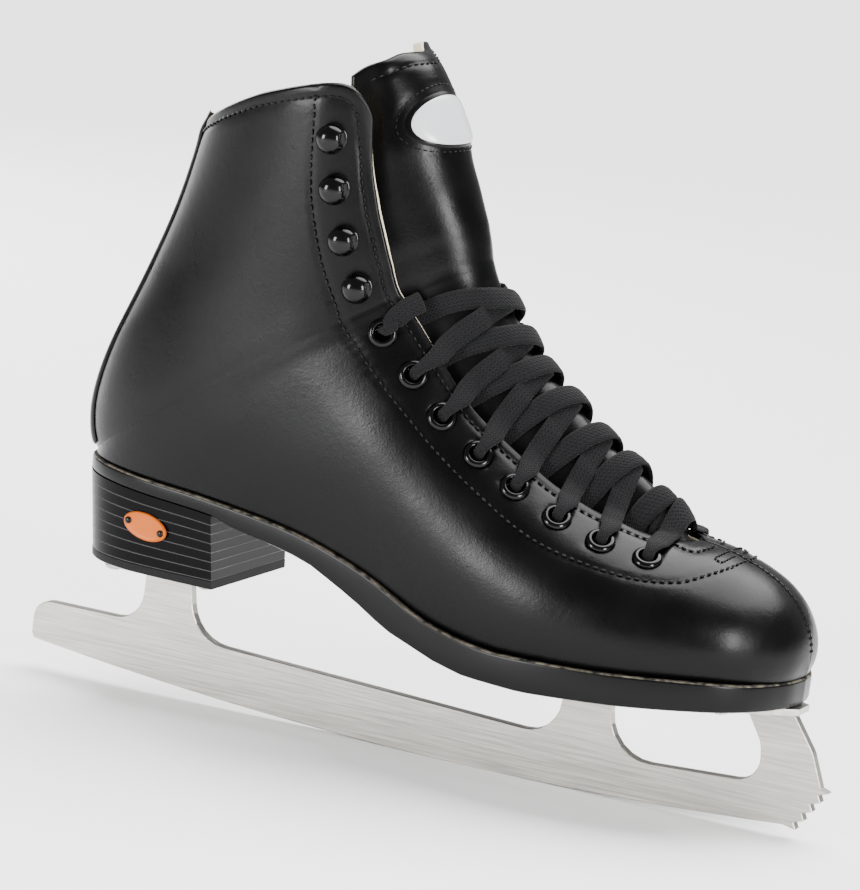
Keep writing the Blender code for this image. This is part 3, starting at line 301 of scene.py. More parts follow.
# ---------------------------------------------------------------- camera
def add_camera():
    """Eye at 23 degrees toward the toe from the outer side, 10 degrees up, picture rolled clockwise."""
    around, up_angle, roll, distance = math.radians(23), math.radians(10), math.radians(7.15), 1.5
    target = Vector((-0.0075, 0, 0.1061))
    back = Vector((math.sin(around) * math.cos(up_angle), -math.cos(around) * math.cos(up_angle),
                   math.sin(up_angle)))
    right = Vector((math.cos(around), math.sin(around), 0))
    up = back.cross(right)
    x_axis = right * math.cos(roll) + up * math.sin(roll)
    y_axis = up * math.cos(roll) - right * math.sin(roll)
    data = bpy.data.cameras.new("camera")
    data.sensor_fit = "HORIZONTAL"
    data.sensor_width = 36
    data.lens = 185.2
    data.clip_end = 200
    camera = bpy.data.objects.new("camera", data)
    camera.matrix_world = Matrix.Translation(target + back * distance) @ Matrix(
        (x_axis, y_axis, back)).transposed().to_4x4()
    bpy.context.scene.collection.objects.link(camera)
    bpy.context.scene.camera = camera


add_camera()


# ---------------------------------------------------------------- materials
def principled(name, colour, roughness, metallic=0.0, **extra):
    made = bpy.data.materials.new(name)
    made.use_nodes = True
    shader = made.node_tree.nodes["Principled BSDF"]
    shader.inputs["Base Color"].default_value = (*colour, 1)
    shader.inputs["Roughness"].default_value = roughness
    shader.inputs["Metallic"].default_value = metallic
    for key, value in extra.items():
        shader.inputs[key.replace("_", " ")].default_value = value
    return made


def node(material, kind, **values):
    made = material.node_tree.nodes.new(kind)
    for key, value in values.items():
        if key in made.inputs:
            made.inputs[key].default_value = value
        else:
            setattr(made, key, value)
    return made


def wire(material, *pairs):
    for start, end in pairs:
        material.node_tree.links.new(start, end)


def shader_of(material):
    return material.node_tree.nodes["Principled BSDF"]


def grain(material, layers, coords="Object"):
    """Stacks noise bumps: each layer is (scale, detail, strength, distance in mm)."""
    place = node(material, "ShaderNodeTexCoord")
    before = None
    for scale, detail, strength, distance in layers:
        noise = node(material, "ShaderNodeTexNoise", Scale=scale, Detail=detail)
        bump = node(material, "ShaderNodeBump", Strength=strength, Distance=distance * MM)
        wire(material, (place.outputs[coords], noise.inputs["Vector"]),
             (noise.outputs["Fac"], bump.inputs["Height"]))
        if before:
            wire(material, (before.outputs["Normal"], bump.inputs["Normal"]))
        before = bump
    wire(material, (before.outputs["Normal"], shader_of(material).inputs["Normal"]))
    return place


def vary(material, place, socket, scale, detail, low, high, colour=False):
    """Noise between two values or two colours, into a shader socket."""
    noise = node(material, "ShaderNodeTexNoise", Scale=scale, Detail=detail)
    ramp = node(material, "ShaderNodeValToRGB")
    ramp.color_ramp.elements[0].position, ramp.color_ramp.elements[1].position = .35, .65
    ramp.color_ramp.elements[0].color = (*low, 1) if colour else (low, low, low, 1)
    ramp.color_ramp.elements[1].color = (*high, 1) if colour else (high, high, high, 1)
    wire(material, (place.outputs["Object"], noise.inputs["Vector"]),
         (noise.outputs["Fac"], ramp.inputs["Fac"]),
         (ramp.outputs["Color"], shader_of(material).inputs[socket]))


LEATHER_LOOK = principled("leather_black", (.0007, .0007, .0009), .30, Specular_IOR_Level=.13)
spot = grain(LEATHER_LOOK, [(1300, 3, .30, .12), (420, 2, .15, .25)])
vary(LEATHER_LOOK, spot, "Roughness", 70, 3, .26, .34)
LINING_LOOK = principled("lining_cream", (.62, .55, .40), .85)
grain(LINING_LOOK, [(1500, 3, .4, .15)])
THREAD_LOOK = principled("thread_black", (.0012, .0012, .0013), .4, Specular_IOR_Level=.16)
SOLE_LOOK = principled("sole_black", (.0010, .0010, .0012), .30, Specular_IOR_Level=.14)
grain(SOLE_LOOK, [(700, 3, .15, .1), (60, 2, .1, .8)])
FEATHER_LOOK = principled("feather_line", (.02, .02, .02), .6, Specular_IOR_Level=.15)
vary(FEATHER_LOOK, grain(FEATHER_LOOK, [(900, 3, .4, .2)]), "Base Color", 380, 4,
     (.002, .002, .002), (.10, .088, .066), True)
SCRIBE_LOOK = principled("heel_scribed_line", (.055, .055, .057), .5, Specular_IOR_Level=.2)
HEEL_LOOK = principled("heel_black", (.0008, .0008, .001), .27, Specular_IOR_Level=.06)
grain(HEEL_LOOK, [(500, 3, .12, .1)])
LIFT_LOOK = principled("top_lift_rubber", (.002, .002, .002), .6, Specular_IOR_Level=.15)
grain(LIFT_LOOK, [(900, 3, .3, .15)])
METAL_BLACK = principled("black_enamel", (.0008, .0008, .001), .15, Specular_IOR_Level=.2)
STEEL_LOOK = principled("steel_brushed", (.39, .375, .345), .36, 1.0)
PLATE_LOOK = principled("steel_plate", (.46, .45, .42), .30, 1.0)
SCREW_LOOK = principled("steel_screw", (.50, .49, .47), .28, 1.0)
COPPER_LOOK = principled("copper_orange", (.40, .082, .002), .36, .1, Specular_IOR_Level=.2)
BADGE_LOOK = principled("badge_white", (.50, .51, .53), .18)
LACE_LOOK = principled("lace_black", (.006, .006, .007), .82, Specular_IOR_Level=.12)
TIP_LOOK = principled("lace_tip", (.004, .004, .004), .2, Specular_IOR_Level=.3)


def brush_steel(material, low, high, scale, strength):
    """Fine scratches along X, and a slow change of tone."""
    place = node(material, "ShaderNodeTexCoord")
    stretch = node(material, "ShaderNodeMapping")
    stretch.inputs["Scale"].default_value = (.03, 1, 1)
    noise = node(material, "ShaderNodeTexNoise", Scale=scale, Detail=3)
    bump = node(material, "ShaderNodeBump", Strength=strength, Distance=.14 * MM)
    ramp = node(material, "ShaderNodeValToRGB")
    tone = node(material, "ShaderNodeValToRGB")
    base = shader_of(material).inputs["Base Color"].default_value[:3]
    for element, place_at, share in zip(tone.color_ramp.elements, (.3, .7), (.80, 1.15)):
        element.position, element.color = place_at, (*(c * share for c in base), 1)
    ramp.color_ramp.elements[0].color = (low, low, low, 1)
    ramp.color_ramp.elements[1].color = (high, high, high, 1)
    wire(material, (place.outputs["Object"], stretch.inputs["Vector"]),
         (stretch.outputs["Vector"], noise.inputs["Vector"]),
         (noise.outputs["Fac"], bump.inputs["Height"]), (noise.outputs["Fac"], ramp.inputs["Fac"]),
         (noise.outputs["Fac"], tone.inputs["Fac"]),
         (tone.outputs["Color"], shader_of(material).inputs["Base Color"]),
         (ramp.outputs["Color"], shader_of(material).inputs["Roughness"]),
         (bump.outputs["Normal"], shader_of(material).inputs["Normal"]))


brush_steel(STEEL_LOOK, .30, .44, 1400, .25)
brush_steel(PLATE_LOOK, .26, .38, 900, .2)


def weave_lace():
    """Lengthwise ribs and crossing picks, from the ribbon's own UV: u across, v along in metres. The colour
    follows their height: painted shade in the hollows, painted highlight on the raised threads.
    """
    place = node(LACE_LOOK, "ShaderNodeTexCoord")
    parts = node(LACE_LOOK, "ShaderNodeSeparateXYZ")
    wire(LACE_LOOK, (place.outputs["UV"], parts.inputs["Vector"]))

    def maths(kind, a, b):
        made = node(LACE_LOOK, "ShaderNodeMath", operation=kind)
        for index, value in enumerate((a, b)):
            if isinstance(value, (int, float)):
                made.inputs[index].default_value = value
            elif value is not None:
                wire(LACE_LOOK, (value, made.inputs[index]))
        return made.outputs[0]
    u, v = parts.outputs["X"], parts.outputs["Y"]
    ribs = maths("SINE", maths("MULTIPLY", u, 2 * math.pi * 8), None)
    picks = maths("MULTIPLY", ribs, maths("SINE", maths("MULTIPLY", v, 2 * math.pi / .0015), None))
    height = maths("ADD", maths("MULTIPLY", ribs, .3), maths("MULTIPLY", picks, .7))
    bump = node(LACE_LOOK, "ShaderNodeBump", Strength=.9, Distance=.2 * MM)
    # base colour from the weave's height: painted shade, darker in the hollows between ribs and picks, and
    # painted highlight, lighter on the raised threads
    ramp = node(LACE_LOOK, "ShaderNodeValToRGB")
    ramp.color_ramp.elements[0].color = (.0014, .0014, .0015, 1)
    ramp.color_ramp.elements[1].color = (.0085, .0085, .0095, 1)
    tone = maths("ADD", maths("MULTIPLY", height, .5), .5)
    wire(LACE_LOOK, (height, bump.inputs["Height"]), (tone, ramp.inputs["Fac"]),
         (ramp.outputs["Color"], shader_of(LACE_LOOK).inputs["Base Color"]),
         (bump.outputs["Normal"], shader_of(LACE_LOOK).inputs["Normal"]))
    shader_of(LACE_LOOK).inputs["Sheen Weight"].default_value = .03
    shader_of(LACE_LOOK).inputs["Sheen Roughness"].default_value = .4


weave_lace()


# ---------------------------------------------------------------- helpers
def new_object(name, verts, faces, looks, angle=None, marks=None):
    """Closed mesh from points in millimetres; marks is each face's material number."""
    mesh = bpy.data.meshes.new(name)
    mesh.from_pydata([tuple(float(c) * MM for c in p) for p in verts], [], faces)
    for look in looks if isinstance(looks, (list, tuple)) else [looks]:
        if look:
            mesh.materials.append(look)
    if marks:
        mesh.polygons.foreach_set("material_index", marks)
    work = bmesh.new()
    work.from_mesh(mesh)
    bmesh.ops.recalc_face_normals(work, faces=work.faces)
    if work.calc_volume(signed=True) < 0:
        bmesh.ops.reverse_faces(work, faces=work.faces)
    work.to_mesh(mesh)
    work.free()
    mesh.shade_smooth()
    if angle:
        mesh.set_sharp_from_angle(angle=math.radians(angle))
    made = bpy.data.objects.new(name, mesh)
    bpy.context.scene.collection.objects.link(made)
    return made


def settle(obj):
    """Applies obj's modifiers to its mesh."""
    graph = bpy.context.evaluated_depsgraph_get()
    mesh = bpy.data.meshes.new_from_object(obj.evaluated_get(graph))
    obj.modifiers.clear()
    obj.data = mesh
    return obj


def smooth_out(obj, levels):
    modifier = obj.modifiers.new("smooth", "SUBSURF")
    modifier.levels = modifier.render_levels = levels
    return settle(obj)


def hold(obj, slot, nodes=(), body="boot"):
    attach(obj, body)
    if nodes:
        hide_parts(*nodes)
    return obj


def grid_cells(rows, columns, key):
    """Quads of a grid; key(i, j) names its points, and equal names are one point."""
    cells = []
    for i in range(rows - 1):
        for j in range(columns - 1):
            corners = [key(i, j), key(i, j + 1), key(i + 1, j + 1), key(i + 1, j)]
            cell = [k for n, k in enumerate(corners) if k not in corners[:n]]
            if len(cell) > 2:
                cells.append(tuple(cell))
    return cells


def shell(name, cells, place, looks, levels=2, edge_marks=None):
    """Closed body from surface cells. Level 0 is the outer face and the last the inner one;
    levels between them make loops round the open edges. edge_marks gives each wall's material."""
    keys = sorted({k for cell in cells for k in cell})
    uses = {}
    for cell in cells:
        for a, b in zip(cell, cell[1:] + cell[:1]):
            uses.setdefault(frozenset((a, b)), []).append((a, b))
    rim = [pair[0] for pair in uses.values() if len(pair) == 1]
    rim_keys = sorted({k for pair in rim for k in pair})
    verts, index = [], {}
    for level in range(levels):
        for k in keys if level in (0, levels - 1) else rim_keys:
            index[level, k] = len(verts)
            verts.append(place(k, level))
    last = levels - 1
    faces = [tuple(index[0, k] for k in cell) for cell in cells]
    faces += [tuple(index[last, k] for k in reversed(cell)) for cell in cells]
    marks = [0] * len(cells) + [(edge_marks or [0] * last)[-1]] * len(cells)
    for a, b in rim:
        for level in range(last):
            faces.append((index[level, b], index[level, a], index[level + 1, a], index[level + 1, b]))
            marks.append((edge_marks or [0] * last)[level])
    return new_object(name, verts, faces, looks, marks=marks)


def press(obj, line, depth, width):
    """Pushes the surface in along a line, as a seam or a row of stitches does."""
    tree = KDTree(len(line))
    for k, point in enumerate(line):
        tree.insert(Vector(point) * MM, k)
    tree.balance()
    for vertex in obj.data.vertices:
        _, _, distance = tree.find(vertex.co)
        distance /= MM
        if distance < 3 * width:
            vertex.co -= vertex.normal * (depth * math.exp(-(distance / width) ** 2)) * MM


def stitches(name, runs, look, length=2.1, thick=.34, pitch=2.9, body="boot", slot="leather"):
    """Short thread bumps along runs; each run is a list of (point, outward) pairs."""
    verts, faces = [], []
    around, along = 6, 5
    for run in runs:
        points = [np.array(p) for p, _ in run]
        steps = np.concatenate([[0], np.cumsum([np.linalg.norm(b - a) for a, b in zip(points, points[1:])])])
        outs = np.array([o for _, o in run])
        points = np.array(points)
        at = lambda table, d: np.array([np.interp(d, steps, table[:, c]) for c in range(3)])
        for k in range(int((steps[-1] - length) // pitch)):
            middle = (k + .5) * pitch
            start, end = at(points, middle - length / 2), at(points, middle + length / 2)
            run_dir, out = unit(end - start), unit(at(outs, middle))
            across = unit(np.cross(run_dir, out))
            first = len(verts)
            centre = (start + end) / 2 + out * .10
            verts.append(centre - run_dir * length / 2)
            for i in range(1, along):
                t = i / along
                swell = math.sin(math.pi * t) ** .5
                for j in range(around):
                    turn = 2 * math.pi * j / around
                    verts.append(centre + run_dir * length * (t - .5)
                                 + (out * math.cos(turn) + across * math.sin(turn)) * thick * swell)
            verts.append(centre + run_dir * length / 2)
            last = len(verts) - 1
            for j in range(around):
                n = (j + 1) % around
                faces.append((first, first + 1 + j, first + 1 + n))
                for i in range(along - 2):
                    a, b = first + 1 + i * around, first + 1 + (i + 1) * around
                    faces.append((a + j, b + j, b + n, a + n))
                tip = first + 1 + (along - 2) * around
                faces.append((last, tip + n, tip + j))
    made = new_object(name, verts, faces, look)
    return hold(made, slot, body=body)


def spline(points, per=8):
    """Smooth curve through points, any number of values each."""
    points = [np.array(p, float) for p in points]
    ends = [2 * points[0] - points[1]] + points + [2 * points[-1] - points[-2]]
    out = []
    for a, b, c, d in zip(ends, ends[1:], ends[2:], ends[3:]):
        for t in np.linspace(0, 1, per, endpoint=False):
            out.append(.5 * (2 * b + (c - a) * t + (2 * a - 5 * b + 4 * c - d) * t ** 2
                             + (3 * b - 3 * c - a + d) * t ** 3))
    return out + [points[-1]]


def frame_of(axis, hint=(0, 0, 1)):
    """Two directions square to axis, the second as near as possible to hint."""
    axis = unit(np.array(axis, float))
    first = np.cross(np.array(hint, float), axis)
    if np.linalg.norm(first) < 1e-4:
        first = np.cross(np.array((1.0, 0, 0)), axis)
    first = unit(first)
    return first, np.cross(axis, first)


def turned(name, profile, centre, axis, slot, segments=12, ring=False, angle=40):
    """Solid turned about axis from (radius, height) points; a ring's profile is a closed loop."""
    first, second = frame_of(axis)
    axis = unit(np.array(axis, float))
    verts, rows = [], []
    for radius, height in profile:
        if radius == 0:
            rows.append([len(verts)] * segments)
            verts.append(centre + axis * height)
            continue
        rows.append(list(range(len(verts), len(verts) + segments)))
        for k in range(segments):
            turn = 2 * math.pi * k / segments
            verts.append(centre + axis * height
                         + (first * math.cos(turn) + second * math.sin(turn)) * radius)
    faces = []
    pairs = list(zip(rows, rows[1:] + rows[:1])) if ring else list(zip(rows, rows[1:]))
    for low, high in pairs:
        for k in range(segments):
            n = (k + 1) % segments
            corners = [low[k], low[n], high[n], high[k]]
            face = [c for m, c in enumerate(corners) if c not in corners[:m]]
            if len(face) > 2:
                faces.append(tuple(face))
    return new_object(name, verts, faces, slot, angle)


@lru_cache(maxsize=None)
def lacing_places():
    """(s, distance out from the facing edge) of the eyelets, bottom to top, then the hooks."""
    eyelet_s = (6.88, 7.66, 8.58, 9.55, 10.4, 11.35, 12.4, 14.0)
    eyelet_in = (15.6, 14.0, 12.4, 11.8, 11.2, 11.2, 11.2, 12.0)
    hook_s = (19.6, 21.5, 22.6, 23.35)
    hook_in = (12.8, 13.4, 13.5, 14.0)
    return tuple(zip(eyelet_s, eyelet_in)), tuple(zip(hook_s, hook_in))


@lru_cache(maxsize=None)
def inward_v(s, distance):
    """v at an arc distance behind the facing edge."""
    v, travelled = facing_v(s), 0.0
    here = raw_skin(s, v)
    while travelled < distance:
        v += .002
        ahead = raw_skin(s, v)
        travelled += np.linalg.norm(ahead - here)
        here = ahead
    return round(v, 4)


def lacing_frames(side):
    """Surface point and outward direction of each eyelet and each hook on one side."""
    eyelets, hooks = lacing_places()
    frames = []
    for group in (eyelets, hooks):
        spots = [(s, inward_v(s, d)) for s, d in group]
        frames.append([(skin(s, v, side), normal(s, v, side)) for s, v in spots])
    return frames


def outline_point(s, side, grow):
    """Plan point of the feather line, moved outward by grow."""
    def at(a):
        _, _, x, _, _, edge, _, _ = station(max(a, 0))
        return np.array((x, edge if a >= 0 else -edge))
    ahead, behind = at(s - .05 if s > .05 else -.05), at(min(s + .05, HEEL_S - .001))
    if s >= HEEL_S:
        out = np.array((-1.0, 0.0))
    elif s <= 0:
        out = np.array((1.0, 0.0))
    else:
        run = unit(behind - ahead)
        out = np.array((-run[1], run[0])) if run[0] < 0 else np.array((run[1], -run[0]))
        out = out if out[1] > 0 else -out
    point = at(s) + out * grow
    return np.array((point[0], centre_y(point[0]) + side * max(point[1], 0.0)))


def edge_z(s):
    return station(s)[3]


def welt(s):
    """How far the sole stands out past the upper."""
    return 1.2 + 1.6 * smooth_step((11.5 - s) / 2.5) - 1.9 * smooth_step((5.0 - s) / 3.5)


def lace_point(s, w, rise):
    """Point at a sideways distance w and a height over the boot surface."""
    side = -1 if w < 0 else 1
    v = math.asin(min(1.0, abs(w) / station(s)[4])) / math.pi
    return raw_offset(s, v, side, rise)


def eyelet_spots(side):
    eyelets, _ = lacing_places()
    return [(s, side * raw_skin(s, inward_v(s, d))[1]) for s, d in eyelets]


def strap_height(half, side, outside, upper):
    """Height function of a strap that starts on side; an upper strap crosses over the other."""
    def height(s, w):
        zone = 1 - smooth_step((abs(w) / half - ZONE[0]) / (ZONE[1] - ZONE[0]))
        on_tongue = tongue_rise(s, w) + LACE_LIFT
        if w * side > 0 and outside:
            return max(on_tongue + CROSS_LIFT * max(upper, 1 - zone), BODY_RISE)
        if w * side > 0 or not upper:
            return on_tongue + CROSS_LIFT * upper * zone
        below = max(on_tongue, BODY_RISE) if outside else on_tongue
        return (below + CROSS_LIFT) * zone + on_tongue * (1 - zone)
    return height


def lace_width(distance):
    """The lace bunches up in an eyelet and spreads within a few millimetres of it."""
    return BUNCHED + (LACE_WIDTH - BUNCHED) * smooth_step((abs(distance) - 1.0) / 6.0)


def crossing(side, k, samples=22):
    """Strap from eyelet k of one side to eyelet k + 1 of the other: (s, w, rise, width, drape)."""
    s_from, w_from = eyelet_spots(side)[k]
    s_to, w_to = eyelet_spots(-side)[k + 1]
    outside = k > 0
    height = strap_height((abs(w_from) + abs(w_to)) / 2, side, outside, side > 0)
    steps, first = (OUT_OF_EYELET, 8.6) if outside else (INTO_EYELET[::-1], 5.0)
    path = [(s_from, w_from - side * d, rise, lace_width(d), None) for d, rise in steps]
    for w in np.linspace(w_from - side * first, w_to + side * 5.2, samples):
        t = (w - w_from) / (w_to - w_from)
        s = s_from + (s_to - s_from) * (t - .1 * math.sin(2 * math.pi * t))
        path.append((s, w, height(s, w), lace_width(min(abs(w - w_from), abs(w - w_to))), height))
    path += [(s_to, w_to + side * d, rise, lace_width(d), None) for d, rise in INTO_EYELET]
    return path


def bottom_bar(samples=17):
    """The lace's middle, straight across the bottom pair of eyelets on the outside."""
    s, w_right = eyelet_spots(-1)[0]
    w_left = eyelet_spots(1)[0][1]
    height = lambda s, w: max(tongue_rise(s, w) + LACE_LIFT + 2 * CROSS_LIFT, BODY_RISE)
    path = [(s, w_right + d, rise, lace_width(d), None) for d, rise in OUT_OF_EYELET]
    for w in np.linspace(w_right + 8.6, w_left - 8.6, samples):
        path.append((s, w, height(s, w), lace_width(min(w - w_right, w_left - w)), height))
    return path + [(s, w_left - d, rise, lace_width(d), None) for d, rise in reversed(OUT_OF_EYELET)]


def lace_run(side):
    """All crossings of the lace end that starts at the bottom eyelet of one side."""
    path = []
    for k in range(EYELETS - 1):
        path += crossing(side, k)
        side = -side
    return path


def floor_z(x):
    """Top of the footbed under the lace ends."""
    xs = [station(s)[2] for s in range(HEEL_S, -1, -1)]
    zs = [station(s)[3] + 7.0 for s in range(HEEL_S, -1, -1)]
    return float(np.interp(x, xs, zs))


def smooth_route(points, spacing):
    """Points every spacing along a smooth curve through the given ones."""
    dense = spline(points, 24)
    steps = [0.0]
    for a, b in zip(dense, dense[1:]):
        steps.append(steps[-1] + np.linalg.norm(b - a))
    wanted = np.linspace(0, steps[-1], max(2, int(round(steps[-1] / spacing)) + 1))
    dense = np.array(dense)
    return [np.array([np.interp(a, steps, dense[:, c]) for c in range(3)]) for a in wanted]


# ---------------------------------------------------------------- laces
def ribbon_ring(centre, across, thick, width, deep=LACE_THICK, parts=5):
    """Corners of a flat band's section: rounded edges, flat faces."""
    ring = []
    for sign, order in ((-1, range(parts)), (1, range(parts - 1, -1, -1))):
        for i in order:
            a = -1 + 2 * i / (parts - 1)
            a = math.sin(a * math.pi / 2)
            height = (1 - abs(a) ** 3.2) ** .5 * .5 * deep
            ring.append((a, sign * max(height, .12 * deep)))
    return [centre + across * a * width / 2 + thick * h for a, h in ring], ring


def band(name, sections, looks=None):
    """Closed band through rings of equal length, with u across and v along in metres."""
    size, count = len(sections[0]), len(sections)
    verts = [p for ring in sections for p in ring]
    faces = []
    for k in range(count - 1):
        for c in range(size):
            n = (c + 1) % size
            faces.append((k * size + c, k * size + n, (k + 1) * size + n, (k + 1) * size + c))
    faces += [tuple(range(size)), tuple(range((count - 1) * size, count * size))]
    made = new_object(name, verts, faces, looks or LACE_LOOK)
    middles = [sum(ring) / size for ring in sections]
    along = np.concatenate([[0], np.cumsum([np.linalg.norm(b - a) for a, b in zip(middles, middles[1:])])])
    half = size // 2
    layer = made.data.uv_layers.new(name="weave")
    for polygon in made.data.polygons:
        for loop in polygon.loop_indices:
            index = made.data.loops[loop].vertex_index
            ring, corner = divmod(index, size)
            across = corner if corner < half else size - 1 - corner
            layer.data[loop].uv = (across / (half - 1), along[ring] * MM)
    return made


def refine(path, step=1.5):
    """Points along a lace path so close together that curves look smooth."""
    out = [path[0]]
    for a, b in zip(path, path[1:]):
        gap = np.linalg.norm(lace_point(*b[:3]) - lace_point(*a[:3]))
        pieces = max(1, int(math.ceil(gap / step)))
        for k in range(1, pieces + 1):
            t = k / pieces
            s, w, rise, width = (a[n] + (b[n] - a[n]) * t for n in range(4))
            drape = a[4] if a[4] and b[4] else None
            out.append((s, w, drape(s, w) if drape else rise, width, drape if t < 1 else b[4]))
    return out


def steadied(directions, rounds):
    """Directions averaged with their neighbours, several times over."""
    for _ in range(rounds):
        middle = [unit(a + 2 * b + c) for a, b, c in zip(directions, directions[1:], directions[2:])]
        directions = [directions[0]] + middle + [directions[-1]]
    return directions


def draped_sections(path):
    """Rings of the laced part: flat straps follow what they lie on over their whole width."""
    centres = [lace_point(*p[:3]) for p in path]
    soft = [np.array(c) for c in centres]
    for _ in range(2):
        soft = [soft[0]] + [(a + 2 * b + c) / 4 for a, b, c in zip(soft, soft[1:], soft[2:])] + [soft[-1]]
    frames, before = [], None
    for k, (s, w, rise, _, _) in enumerate(path):
        up = unit(lace_point(s, w, rise + 1) - centres[k])
        run = unit(soft[min(k + 1, len(path) - 1)] - soft[max(k - 1, 0)])
        across = np.cross(unit(run - up * np.dot(run, up)), up)
        if abs(np.dot(run, up)) > .8 and before is not None:
            across = before
        across = unit(across)
        if before is not None and np.dot(across, before) < 0:
            across = -across
        before = across
        frames.append((up, run, across))
    acrosses = steadied([f[2] for f in frames], 4)
    sections, last_thick = [], None
    for k, (s, w, rise, width, drape) in enumerate(path):
        up, run, _ = frames[k]
        across = unit(acrosses[k] - run * np.dot(acrosses[k], run))
        thick = unit(np.cross(across, run))
        if last_thick is not None and np.dot(thick, last_thick) < 0:
            thick = -thick
        last_thick = thick
        bunching = 1 - (width - BUNCHED) / (LACE_WIDTH - BUNCHED)
        points, shape = ribbon_ring(soft[k], across, thick, width, LACE_THICK * (1 + .5 * bunching))
        if drape:
            by_s = (lace_point(s + .05, w, rise) - centres[k]) / .05
            by_w = (lace_point(s, w + .5, rise) - centres[k]) / .5
            ds, dw = np.linalg.lstsq(np.array((by_s, by_w)).T, across * width / 2, rcond=None)[0]
            lift = {}
            for n, (a, _) in enumerate(shape):
                if a not in lift:
                    lift[a] = drape(s + a * ds, w + a * dw) - rise
                points[n] = points[n] + up * lift[a] * .8
        sections.append(points)
    return sections


def laced_part():
    right, left = lace_run(-1), lace_run(1)
    path = refine(list(reversed(right)) + bottom_bar() + left)
    made = band("lace_zigzag", draped_sections(path))
    hold(made, "lace", ["lace"])


def end_samples(side):
    """(point, outward, width) along a free end, as in the CAD."""
    s_top, w_top = eyelet_spots(side)[-1]
    fold_s = 14.8
    half = facing_half(fold_s)
    path = [(s_top, w_top - side * d, rise, lace_width(d)) for d, rise in ((0, .5), (.4, 1.9), (1.5, 2.7))]
    for share in (.3, .55, .8, .97):
        w = abs(w_top) + (half + .3 - abs(w_top)) * share
        rise = 2.75 if share < .5 else BODY_RISE + .4
        path.append((s_top + (fold_s - s_top) * share, side * w, rise, lace_width(12 * share)))
    fold = ((-1.4, 1.1), (-2.3, -.4), (-2.4, -2.4), (-1.5, -4.3), (.6, -5.35), (3.2, -5.6), (6.0, -5.6))
    path += [(fold_s, side * (half + d), rise, LACE_WIDTH) for d, rise in fold]
    samples = []
    for s, w, rise, width in path:
        point = lace_point(s, w, rise)
        samples.append((point, unit(lace_point(s, w, rise + 1) - point), width))
    end_s, end_v = (12.9, .84) if side < 0 else (14.7, .82)
    start_v = math.asin((half + 6.0) / station(fold_s)[4]) / math.pi
    for share in np.linspace(.12, .94, 9):
        s, v = fold_s + (end_s - fold_s) * share, start_v + (end_v - start_v) * share
        rise = -5.6 - 2.2 * smooth_step((share - .1) / .3)
        samples.append((offset_skin(s, v, side, rise), normal(s, v, side), LACE_WIDTH))
    plan = FLOOR_RIGHT if side < 0 else FLOOR_LEFT
    floor = [(x, y, floor_z(x) + 1.4 + .8) for x, y in plan]
    floor[-1] = floor[-1][:2] + (floor[-1][2] + 1.0,)
    route = smooth_route([samples[-1][0]] + floor, 7.5)[1:]
    return samples + [(p, np.array((0.0, 0, 1)), LACE_WIDTH - .6) for p in route]


def free_end(side, word):
    """One tucked-in end, as a band of its own."""
    samples = end_samples(side)
    points = spline([p for p, _, _ in samples], 5)
    ups = spline([u for _, u, _ in samples], 5)
    widths = spline([np.array((w,)) for _, _, w in samples], 5)
    acrosses = []
    for k, point in enumerate(points):
        run = unit(points[min(k + 1, len(points) - 1)] - points[max(k - 1, 0)])
        across = np.cross(run, unit(ups[k]))
        across = unit(across) if np.linalg.norm(across) > .35 else acrosses[-1]
        if acrosses and np.dot(across, acrosses[-1]) < 0:
            across = -across
        acrosses.append(across)
    acrosses[:15] = [acrosses[15]] * 15
    acrosses = steadied(acrosses, 8)
    sections, thick_before = [], None
    for k, point in enumerate(points):
        run = unit(points[min(k + 1, len(points) - 1)] - points[max(k - 1, 0)])
        across = unit(acrosses[k] - run * np.dot(acrosses[k], run))
        thick = unit(np.cross(across, run))
        if thick_before is not None and np.dot(thick, thick_before) < 0:
            thick = -thick
        thick_before = thick
        sections.append(ribbon_ring(point, across, thick, float(widths[k][0]))[0])
    made = band(f"lace_free_{word}", sections)
    hold(made, "lace", [f"lace_end_{word}"])
    length = sum(np.linalg.norm(b - a) for a, b in zip(points, points[1:])) * MM


laced_part()
free_end(-1, "right")
free_end(1, "left")


# ---------------------------------------------------------------- upper
ROLL = 1.0                      # rounding of the leather's cut edge
BACKSTAY_HALF = 13.0            # half width of the strip over the back seam


def rolled(distance, radius=ROLL):
    """Depth of the outer face at a distance from a rounded edge."""
    if distance >= radius:
        return 0.0
    return radius - math.sqrt(radius ** 2 - (radius - distance) ** 2)


def upper_rows():
    rows = [0, .1, .22, .38, .58, .8]
    rows += list(np.arange(1, 5.9, .25)) + [6.0, 6.2, 6.35, THROAT_S, 6.49, 6.54, 6.6, 6.7, 6.84]
    rows += list(np.arange(7, 17.9, .2)) + list(np.arange(18, 20.9, .25)) + list(np.arange(21, 23.7, .16))
    return [round(float(s), 4) for s in rows] + [23.75, 23.86, 23.92, 23.955, 23.98, 24.0]


def upper_shares():
    near = [0, .003, .007, .012, .02, .033, .052]
    return near + [round(float(s), 4) for s in np.linspace(.075, .975, 37)] + [1.0]


